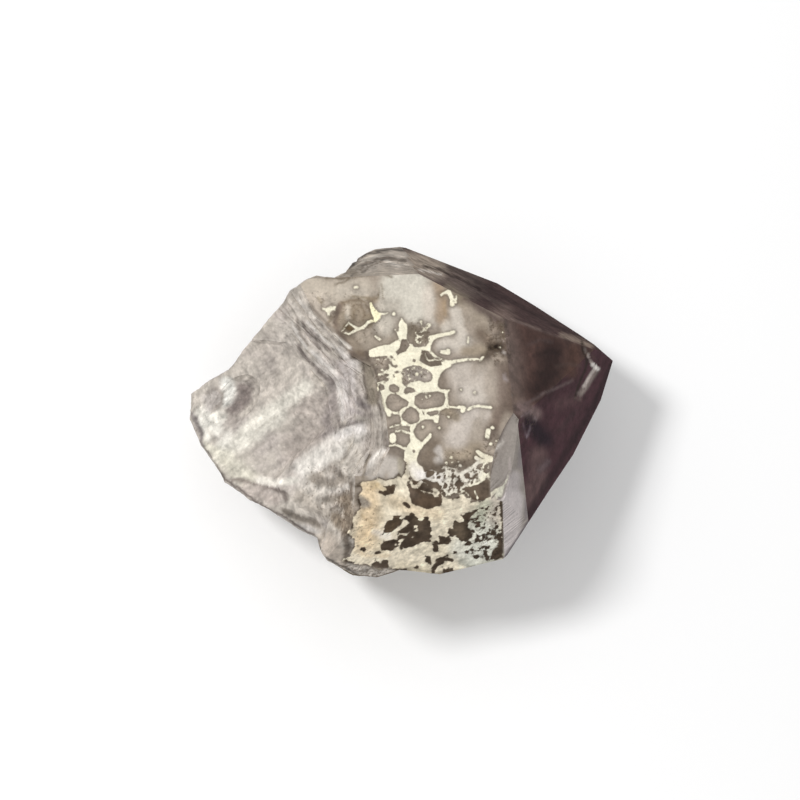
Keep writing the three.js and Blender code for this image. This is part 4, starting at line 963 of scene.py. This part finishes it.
# Painted shade on the crust of the upper face, which faces the light, and painted light on the coated
# face's crust.
CRUST_PAINTED_SHADE, CRUST_PAINTED_LIGHT = 0.24, 0.10  # crust on the upper face, and on the coated one
EDGE_LOSS, EDGE_REACH, EDGE_EASE = 0.07, 0.9, 0.8  # the crust's edge is ragged, and thinner by the loss
CRUST_REACH = 0.6  # the film has the crust's colour this far from it
INSET = 0.2  # the network's speckles keep this far inside their outlines
STRAGGLE, STRAGGLE_DEPTH, STRAGGLE_LOSS = 5.0, 0.9, 0.15  # loose patches of crust behind
CLOUD_SHADE = 0.3  # clouds in the hidden sides

# Share of dark grains on the root, on and beside the film and the crust, and in the film's cells.
ROOT_DUST, FILM_DUST, CELL_DUST = 0.15, 0.2, 0.45
# How clear the quartz is, 0 milky and 1 like glass.
MILKY, CLEAR_TIP, CLEAR_CROWN, CLEAR_CHEEK = 0.1, 0.35, 0.05, 0.25
CLEAR_UPPER, CLEAR_FROST, CLEAR_SIDE = 0.18, 0.12, 0.3


def paint(points, uv, front, zones, height):
    """Colours of quartz and coat, how far the coat covers, and how clear, lined and dusty the quartz is."""
    count = len(points)
    drift = np.stack([fractal(points, WAVER, 2, shift) for shift in (11.0, 17.0)], 1)
    near = uv + WIDE_WAVER * drift
    close = uv + FINE_WAVER * drift
    cloud = fractal(points, CLOUD, 3, 23.0)
    lumps = fractal(points, LUMP, 3, 31.0)
    specks = fractal(points, SPECK, 2, 51.0)

    def among(*names):
        return np.isin(zones, [ZONE[name] for name in names])

    def grainy(kind):
        broad, fine = GRAIN[kind]
        return broad * lumps + fine * specks

    root = zones == ROOT
    upper, coated, brow, crown = (among(name) for name in ("upper", "coated", "brow", "crown"))
    tip = among("front", "crown", "cheek", "under_b", "under_c") | (zones == TIP_WALL)
    frosted = among("corner_upper", "corner_lower") | (zones == FLAKE)
    side = among("rest", "side_a", "side_b")

    # Broken root and the stepped band, which runs on over the upper face
    tone = np.tile(np.array(linear(MILK)), (count, 1))
    lay(tone, FAR_ROOT_TONE, root * (1 - front) * smooth(0.5 - 0.9 * cloud))
    lay(tone, CLOUDY_ROOT_TONE, root * front * smooth(0.2 + 1.2 * cloud) * 0.5)
    lay_strokes(tone, near, ROOT_TONE_AND_SHADE_STROKES, (root | coated) * front)
    lay_strokes(tone, close, BAND_TONE_AND_SHADE_STROKES, (root | upper) * front)
    # Painted shade in the relief's hollows and painted light on its lumps
    relief_shade = DIP_SHADE * np.clip(height, -DIP_LIMIT, DIP_LIMIT)
    tone *= (1 + root * relief_shade + (root | coated) * grainy("root"))[:, None]
    splinters = streaks(close, *FINE_SPLINTERS, 8.0) * (1 - band_weight(close))
    tone *= (1 + SPLINTER_SHADE * root * front * splinters)[:, None]
    tone[root] *= ROOT_SHADE

    # Upper face, hidden sides and brow
    lay(tone, UPPER_TONE, upper)
    lay_strokes(tone, near, UPPER_STROKES, upper)
    tone *= (1 + upper * grainy("upper"))[:, None]
    lay_strokes(tone, close, BAND_TONE_AND_SHADE_STROKES, upper)
    lay(tone, SIDE_TONE, side)
    lay(tone, BROW_TONE, brow)
    lay_strokes(tone, near, BROW_STROKES, (brow | root) * front)

    # Tip and frosted corner
    for colour, where in ((CHEEK_TONE, tip), (FRONT_TONE, among("front")), (CROWN_TONE, crown)):
        lay(tone, colour, where)
    lay_strokes(tone, near, CROWN_TONE_AND_HIGHLIGHT_STROKES, crown)
    lay_strokes(tone, close, TIP_TONE_AND_SHADE_STROKES, tip * front)
    tone *= (1 + CLOUD_SHADE * cloud * (tip | side) * (1 - front))[:, None]
    tone *= (1 + tip * front * grainy("tip"))[:, None]
    lay(tone, FROST_TONE, frosted)
    lay_strokes(tone, close, FROST_STROKES, frosted)
    layers = np.where(brow | crown, brow_layers(uv), 0.0) * smooth((LAYERS_END - uv[:, 0]) / LAYERS_FADE)
    tone *= (1 + LAYER_SHADE * layers)[:, None]

    # Where the film and the crust lie, and the quartz that is seen between them
    crust = patch_depth(close, CRUST)
    cover = coat_cover(close)
    cover += (grainy("crust_edge") - EDGE_LOSS) * smooth((crust + EDGE_REACH) / EDGE_EASE)
    coatable = upper | coated | (root & (front > 0.5))
    # Painted shade along the rim of the bare cells beside the raised film
    shaded_cell_rim = smooth(1 + cover / RIM_WIDTH) * (cover < 0) * upper
    tone *= (1 - RIM_SHADE * shaded_cell_rim)[:, None]
    for ring in SPECKLED:
        cover = np.maximum(cover, np.minimum(0.5 * specks - INSET, patch_depth(close, ring) - INSET))
    bare = np.maximum(smooth(crust / 0.4 + 0.5), smooth(patch_depth(close, LACE) / 1.5))
    for ring in BOWLS:
        bare = np.maximum(bare, smooth(patch_depth(close, ring) / 0.4 + 0.6))
    lay(tone, WINDOW_TONE, bare * (coatable & ~(root & (cover > 0))))
    lay_strokes(tone, close, BOWL_STROKES, bare * (upper | coated))
    tone *= (1 + bare * grainy("bare"))[:, None]
    lay(tone, FOOT_TONE, root * smooth(patch_depth(near, FOOT) / 2 + 0.7))
    cover = np.where(coatable, cover, -REACH)
    seam = np.max([line_depth(close, path(*line), start, end) for start, end, *line in SEAM], 0)
    cover = np.where(frosted, seam, cover)
    straggle = STRAGGLE_DEPTH * fractal(points, STRAGGLE, 4, 41.0) - STRAGGLE_LOSS
    cover = np.where(among("side_b"), straggle, cover)

    # Film and crust
    coat = np.tile(np.array(linear(CREAM_TONE)), (count, 1))
    in_crust = smooth((crust + CRUST_REACH) / EDGE_EASE)
    lay(coat, COAT_TONE, in_crust)
    lay(coat, COAT_TONE, among("side_b"))
    lay_strokes(coat, near, COAT_TONE_AND_SHADE_STROKES, 1.0)
    lay(coat, CREAM_STAIN, smooth(cloud - 0.1) * 0.5 * upper)
    coat *= (1 + grainy("coat"))[:, None]
    # Painted shade on the upper face's crust and painted light on the coated face's crust
    coat *= (1 - CRUST_PAINTED_SHADE * in_crust * upper + CRUST_PAINTED_LIGHT * in_crust * coated)[:, None]
    coat *= (1 + in_crust * grainy("crust"))[:, None]

    dust = ROOT_DUST * root + FILM_DUST * (cover > -0.3) * (upper | coated)
    for ring, share in DUSTY + [(ring, CELL_DUST) for ring in CELLS]:
        dust = np.maximum(dust, share * smooth(patch_depth(close, ring) / 1.2 + 0.5))
    tone *= (1 + dust * grainy("dust"))[:, None]

    chip = (line_depth(close, CHIP, CHIP_WIDTH, CHIP_WIDTH) > 0) & (front > 0.5)
    clear = np.full(count, MILKY)
    clear[tip] = CLEAR_TIP
    clear[crown] = CLEAR_CROWN
    clear[among("cheek")] = CLEAR_CHEEK
    clear[upper | coated] = CLEAR_UPPER
    clear[frosted] = CLEAR_FROST
    clear[side | brow] = CLEAR_SIDE
    clear[chip] = MILKY
    lined = 1.0 * among("corner_lower")
    lined = np.where(zones == FLAKE, smooth((LINES_TOP - uv[:, 1]) / LINES_EASE), lined)
    return tone, coat, np.clip(cover, -REACH, REACH), clear, lined, dust


def set_corners(mesh, name, values):
    """Keeps a number or a colour for each corner of the mesh's faces."""
    if values.ndim == 1:
        mesh.attributes.new(name, "FLOAT", "CORNER").data.foreach_set("value", values.astype(np.float32))
        return
    full = np.concatenate([np.clip(values, 0, 1), np.ones((len(values), 1))], 1)
    data = mesh.attributes.new(name, "FLOAT_COLOR", "CORNER").data
    data.foreach_set("color", full.astype(np.float32).ravel())


def vertex_array(mesh, key):
    """Places or normals of the mesh's vertices, one a row."""
    data = np.zeros(len(mesh.vertices) * 3, np.float32)
    mesh.vertices.foreach_get(key, data)
    return data.reshape(-1, 3).astype(float)


# A surface counts as seen from this share of its normal towards the eye, fully so FRONT_EASE further on.
FRONT_START, FRONT_EASE = 0.02, 0.16
FACE_EASE = 1.0  # relief starts at the rim of a crystal face and is full this far from it


def finish_mesh(mesh, settings):
    """Gives the broken quartz its lumps and writes the colours on the mesh's corners."""
    zones = np.zeros(len(mesh.polygons), np.int32)
    mesh.attributes["zone"].data.foreach_get("value", zones)
    corners = np.zeros(len(mesh.loops), np.int32)
    mesh.loops.foreach_get("vertex_index", corners)
    corner_zone = np.repeat(zones, 3)
    points = vertex_array(mesh, "co") / MM
    normals = vertex_array(mesh, "normal")
    uv = seen(points)
    front = smooth((normals @ SHOW[2] - FRONT_START) / FRONT_EASE)

    only_root = np.ones(len(points), bool)
    only_root[corners[corner_zone != ROOT]] = False
    touches_root = np.zeros(len(points), bool)
    touches_root[corners[corner_zone == ROOT]] = True
    rim = points[touches_root & ~only_root]
    ease = edge_ease(points, rim, only_root)
    height = np.where(only_root, relief(points, uv, front, settings), 0.0)
    moved = points + normals * (height * ease)[:, None]
    mesh.vertices.foreach_set("co", (moved * MM).astype(np.float32).ravel())
    mesh.update()

    many = TIP_WALL + 1
    pairs, place = np.unique(corners.astype(np.int64) * many + corner_zone, return_inverse=True)
    spot, zone = pairs // many, pairs % many
    painted = paint(points[spot], uv[spot], front[spot], zone, height[spot])
    for name, values in zip(("tone", "coat", "cover", "clear", "lined", "dust"), painted):
        set_corners(mesh, name, values[place])


def edge_ease(points, rim, only_root):
    """0 at the rim of a crystal face, 1 at some distance from it, so that the faces stay flat."""
    tree = KDTree(len(rim))
    for i, spot in enumerate(rim):
        tree.insert(Vector(spot), i)
    tree.balance()
    ease = np.zeros(len(points))
    for i in np.nonzero(only_root)[0]:
        ease[i] = min(tree.find(Vector(points[i]))[2] / FACE_EASE, 1.0)
    return ease


# Material

def add(tree, kind, settings=None, inputs=()):
    """Adds a node, sets its properties, and sets or links its inputs, given by name or in their order."""
    node = tree.nodes.new("ShaderNode" + kind)
    for key, value in (settings or {}).items():
        setattr(node, key, value)
    for key, value in inputs.items() if isinstance(inputs, dict) else enumerate(inputs):
        if isinstance(value, bpy.types.NodeSocket):
            tree.links.new(value, node.inputs[key])
        else:
            node.inputs[key].default_value = value
    return node


PRODUCT_SUM = {"operation": "MULTIPLY_ADD"}
EASED = {"interpolation_type": "SMOOTHSTEP"}

FLAKE_LINES = (0.80, 0.60)  # run of the growth lines on the frosted corner, right and up as it is seen
LINE_SPACING = 0.3  # width of one light or dark line
LINE_LENGTH = 6
VEIL, PIT, GRAIN_WIDTH, FRAY = 2.4, 0.45, 0.5, 0.6  # widths of the largest lumps of each noise
SKIN = 0.12  # height of the etch pits and of the coat's grain
GRAIN_START, GRAIN_FULL, GRAIN_STRENGTH = 0.68, 0.86, 0.75
DUST_GAIN = 0.26  # how much more of the grains' noise is dark where the dust is full
FRAY_REACH = 0.3  # width of the zone in which the coat's edge is ragged
# Depths inside the coat's edge at which the rim of painted shade and the coat start and are full.
RIM_START, RIM_FULL, RIM_STRENGTH = -0.4, -0.08, 0.32
COAT_START, COAT_FULL = -0.1, 0.12
NOISE_LOW, NOISE_HIGH = 0.3, 0.7  # most of a noise lies between these
LINE_CONTRAST = 1.5
# Colour of the dark grains, and of the painted shade in the coat's rim
DUST_AND_SHADE = (*linear("#5A4D40"), 1)
DEPTH_TINT = (*linear("#C4A8B4"), 1)
DEPTH_DENSITY = 100.0
QUARTZ_IOR = 1.544


def etched_quartz_and_chalk():
    """Smoky violet quartz as it grew, with a chalky iron-stained coat.

    Growth faces at the tip are smooth, so they show depth and a soft gloss. Natural etching has left the
    other faces milky and dull, and the coat is matt and grainy like limewash.
    """
    material = bpy.data.materials.new("etched_amethyst_quartz_with_chalky_coat")
    material.use_nodes = True
    tree = material.node_tree
    tree.nodes.clear()
    place = add(tree, "TexCoord").outputs["Object"]
    tone, coat = (
        add(tree, "Attribute", {"attribute_name": name}).outputs["Color"] for name in ("tone", "coat"))
    cover, clear, lined, dust = (
        add(tree, "Attribute", {"attribute_name": name}).outputs["Fac"]
        for name in ("cover", "clear", "lined", "dust"))

    # Milky veils, etch pits, dark grains and the frayed edge of the coat, each by its own width
    veils, pits, grains, fray = (
        add(tree, "TexNoise", None, {
            "Vector": place, "Scale": 1 / (width * MM), "Detail": 4.0, "Roughness": rough}).outputs["Fac"]
        for width, rough in ((VEIL, 0.55), (PIT, 0.7), (GRAIN_WIDTH, 0.7), (FRAY, 0.65)))

    # Dark grains lie thicker where the dust is
    grains = add(tree, "Math", PRODUCT_SUM, (dust, DUST_GAIN, grains)).outputs[0]
    grains = add(tree, "MapRange", EASED, (grains, GRAIN_START, GRAIN_FULL, 0.0, GRAIN_STRENGTH)).outputs[0]

    # Growth lines, light and dark by turns, run across the frosted corner
    normal = flat_normal(*FLAT_FACES["corner_lower"])
    tilt = SHOW @ np.array(normal)
    rise = -(FLAKE_LINES[0] * tilt[0] + FLAKE_LINES[1] * tilt[1]) / tilt[2]
    run = Vector(np.array((*FLAKE_LINES, rise)) @ SHOW).normalized()
    along, across = (
        add(tree, "VectorMath", {"operation": "DOT_PRODUCT"}, (place, way)).outputs["Value"]
        for way in (run / (LINE_LENGTH * MM), run.cross(normal) / (LINE_SPACING * MM)))
    drawn_out = add(tree, "CombineXYZ", None, {"X": along, "Y": across}).outputs[0]
    lines = add(tree, "TexNoise", None, {
        "Vector": drawn_out, "Scale": 1.0, "Detail": 1.0, "Roughness": 0.4}).outputs["Fac"]
    line_height = add(tree, "Math", {"operation": "MULTIPLY"}, (lines, lined)).outputs[0]
    line_shade = add(tree, "Math", PRODUCT_SUM, (lines, LINE_CONTRAST, -LINE_CONTRAST / 2)).outputs[0]
    line_shade = add(tree, "Math", {"operation": "MULTIPLY"}, (line_shade, lined)).outputs[0]

    # The quartz is lighter in veils and darker in pits
    veil_shade, pit_shade = (
        add(tree, "MapRange", None, (value, NOISE_LOW, NOISE_HIGH, low, high)).outputs[0]
        for value, low, high in ((veils, 0.9, 1.1), (pits, -0.14, 0.14)))
    shade = add(tree, "Math", {"operation": "ADD"}, (veil_shade, pit_shade)).outputs[0]
    shade = add(tree, "Math", {"operation": "ADD"}, (shade, line_shade)).outputs[0]
    body = add(tree, "VectorMath", {"operation": "SCALE"}, {0: tone, "Scale": shade}).outputs[0]

    # The coat ends in a slightly ragged edge with a rim of painted shade beside it
    fray = add(tree, "Math", PRODUCT_SUM, (fray, FRAY_REACH, -FRAY_REACH / 2)).outputs[0]
    edge = add(tree, "Math", {"operation": "ADD"}, (cover, fray)).outputs[0]
    rim = add(tree, "MapRange", EASED, (edge, RIM_START, RIM_FULL, 0.0, RIM_STRENGTH)).outputs[0]
    grains_and_rim_shade = add(tree, "Math", {"operation": "MAXIMUM"}, (rim, grains)).outputs[0]
    body = add(tree, "Mix", {"data_type": "RGBA"}, {0: grains_and_rim_shade, 6: body, 7: DUST_AND_SHADE}).outputs[2]

    # Etched skin of the quartz, deeper and duller where it is milky
    pitted = add(tree, "Math", PRODUCT_SUM, (pits, 0.6, veils)).outputs[0]
    height = add(tree, "Math", PRODUCT_SUM, (line_height, 1.6, pitted)).outputs[0]
    strength, dullness = (
        add(tree, "MapRange", None, (clear, 0.0, top, low, high)).outputs[0]
        for top, low, high in ((0.6, 0.55, 0.05), (1.0, 0.58, 0.12)))
    skin = add(tree, "Bump", None, {
        "Height": height, "Strength": strength, "Distance": SKIN * MM}).outputs[0]
    quartz = add(tree, "BsdfPrincipled", None, {
        "Base Color": body, "IOR": QUARTZ_IOR, "Normal": skin, "Roughness": dullness,
        "Transmission Weight": clear, "Specular IOR Level": 0.0, "Specular Tint": (0.5, 0.5, 0.5, 1)})

    # The coat stands up as a thin grainy film
    mask = add(tree, "MapRange", EASED, (edge, COAT_START, COAT_FULL, 0.0, 1.0)).outputs[0]
    shade = add(tree, "MapRange", None, (pits, 0.25, 0.75, 0.74, 1.14)).outputs[0]
    limewash = add(tree, "VectorMath", {"operation": "SCALE"}, {0: coat, "Scale": shade}).outputs[0]
    limewash = add(tree, "Mix", {"data_type": "RGBA"}, {0: grains, 6: limewash, 7: DUST_AND_SHADE}).outputs[2]
    height = add(tree, "Math", PRODUCT_SUM, (mask, 0.8, pits)).outputs[0]
    skin = add(tree, "Bump", None, {"Height": height, "Strength": 0.6, "Distance": SKIN * MM}).outputs[0]
    chalk = add(tree, "BsdfPrincipled", None, {
        "Base Color": limewash, "Roughness": 0.92, "Normal": skin, "Specular IOR Level": 0.2})

    surface = add(tree, "MixShader", None, (mask, quartz.outputs[0], chalk.outputs[0]))
    depth = add(tree, "VolumeAbsorption", None, {"Color": DEPTH_TINT, "Density": DEPTH_DENSITY})
    add(tree, "OutputMaterial", None, {"Surface": surface.outputs[0], "Volume": depth.outputs[0]})
    return material


def pale_floor(settings):
    """Painted board, matt and nearly white, so that the crystal's shadow is soft and pale."""
    material = bpy.data.materials.new("matt_white_board")
    material.use_nodes = True
    shader = material.node_tree.nodes["Principled BSDF"]
    shader.inputs["Base Color"].default_value = (*settings.floor_colour, 1)
    shader.inputs["Roughness"].default_value = 0.95
    shader.inputs["Specular IOR Level"].default_value = 0.1
    return material


# Operators

class AMETHYST_OT_crystal(bpy.types.Operator):
    """Builds the crystal with its faces, fractures and markings"""
    bl_idname = "amethyst.crystal"
    bl_label = "Crystal"

    def execute(self, context):
        settings = context.scene.amethyst_crystal
        mesh = crystal_mesh(settings)
        finish_mesh(mesh, settings)
        mesh.materials.append(etched_quartz_and_chalk())
        piece = bpy.data.objects.new("amethyst_crystal", mesh)
        context.scene.collection.objects.link(piece)
        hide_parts(NODE)
        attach(piece, "root")
        return {"FINISHED"}


class AMETHYST_OT_stage(bpy.types.Operator):
    """Builds the pale floor, the soft light and the camera"""
    bl_idname = "amethyst.stage"
    bl_label = "Floor, light and camera"

    def execute(self, context):
        settings = context.scene.amethyst_stage
        make_floor(context, settings)
        make_light(context, settings)
        make_camera(context)
        return {"FINISHED"}


FLOOR_GAP = 0.15 * MM  # between the floor and the crystal's resting face


def make_floor(context, settings):
    bm = bmesh.new()
    bmesh.ops.create_grid(bm, x_segments=1, y_segments=1, size=settings.floor_size / 2)
    bmesh.ops.translate(bm, vec=(0, 0, -FLOOR_GAP), verts=bm.verts)
    mesh = bpy.data.meshes.new("floor")
    bm.to_mesh(mesh)
    bm.free()
    mesh.materials.append(pale_floor(settings))
    floor = bpy.data.objects.new("floor", mesh)
    context.scene.collection.objects.link(floor)


def place_facing(thing, where, target):
    """Puts a lamp at a place, shining at a target."""
    thing.location = where
    thing.rotation_mode = "QUATERNION"
    thing.rotation_quaternion = (Vector(where) - Vector(target)).to_track_quat("Z", "Y")


# The soft light: its side right, up and towards the eye, and its distance and width in metres.
KEY_SIDE = (-0.365, 0.262, 0.89)
KEY_DISTANCE = 0.6
KEY_SIZE = 0.11


def make_light(context, settings):
    middle = Vector(VIEW_MIDDLE) * MM
    side = Vector(np.array(KEY_SIDE) @ SHOW).normalized()
    lamp = bpy.data.lights.new("key", "AREA")
    lamp.shape = "DISK"
    lamp.size = KEY_SIZE
    lamp.energy = settings.key_power
    key = bpy.data.objects.new("key", lamp)
    place_facing(key, middle + side * KEY_DISTANCE, middle)
    context.scene.collection.objects.link(key)
    world = bpy.data.worlds.new("even_sky")
    world.use_nodes = True
    sky = world.node_tree.nodes["Background"]
    sky.inputs["Color"].default_value = (1, 1, 1, 1)
    sky.inputs["Strength"].default_value = settings.sky
    context.scene.world = world
    context.scene.view_settings.view_transform = "Standard"


SENSOR = 36.0
NEAR_CLIP, FAR_CLIP = 0.01, 10.0  # metres


def make_camera(context):
    """Looks at the crystal from the side that it is shown from."""
    data = bpy.data.cameras.new("camera")
    data.sensor_width = SENSOR
    data.lens = SENSOR * VIEW_SCALE * EYE / IMAGE
    data.clip_start = NEAR_CLIP
    data.clip_end = FAR_CLIP
    camera = bpy.data.objects.new("camera", data)
    turn = Matrix(SHOW.tolist()).transposed()
    camera.rotation_mode = "QUATERNION"
    camera.rotation_quaternion = turn.to_quaternion()
    camera.location = Vector(VIEW_MIDDLE) * MM + Vector(SHOW[2]) * EYE * MM
    context.scene.collection.objects.link(camera)
    context.scene.camera = camera


class AMETHYST_PT_panel(bpy.types.Panel):
    bl_idname = "AMETHYST_PT_panel"
    bl_label = "Amethyst point"
    bl_space_type = "VIEW_3D"
    bl_region_type = "UI"
    bl_category = "Amethyst point"

    def draw(self, context):
        for label, settings, operator in (
            ("Crystal", context.scene.amethyst_crystal, AMETHYST_OT_crystal),
            ("Stage", context.scene.amethyst_stage, AMETHYST_OT_stage),
        ):
            box = self.layout.box()
            box.label(text=label)
            for key in settings.__annotations__:
                box.prop(settings, key)
            box.operator(operator.bl_idname)


CLASSES = (CrystalSettings, StageSettings, AMETHYST_OT_crystal, AMETHYST_OT_stage, AMETHYST_PT_panel)


def register():
    for item in CLASSES:
        bpy.utils.register_class(item)
    bpy.types.Scene.amethyst_crystal = PointerProperty(type=CrystalSettings)
    bpy.types.Scene.amethyst_stage = PointerProperty(type=StageSettings)


def unregister():
    del bpy.types.Scene.amethyst_stage
    del bpy.types.Scene.amethyst_crystal
    for item in reversed(CLASSES):
        bpy.utils.unregister_class(item)


def main():
    register()
    bpy.ops.amethyst.crystal()
    bpy.ops.amethyst.stage()


if __name__ == "__main__":
    main()
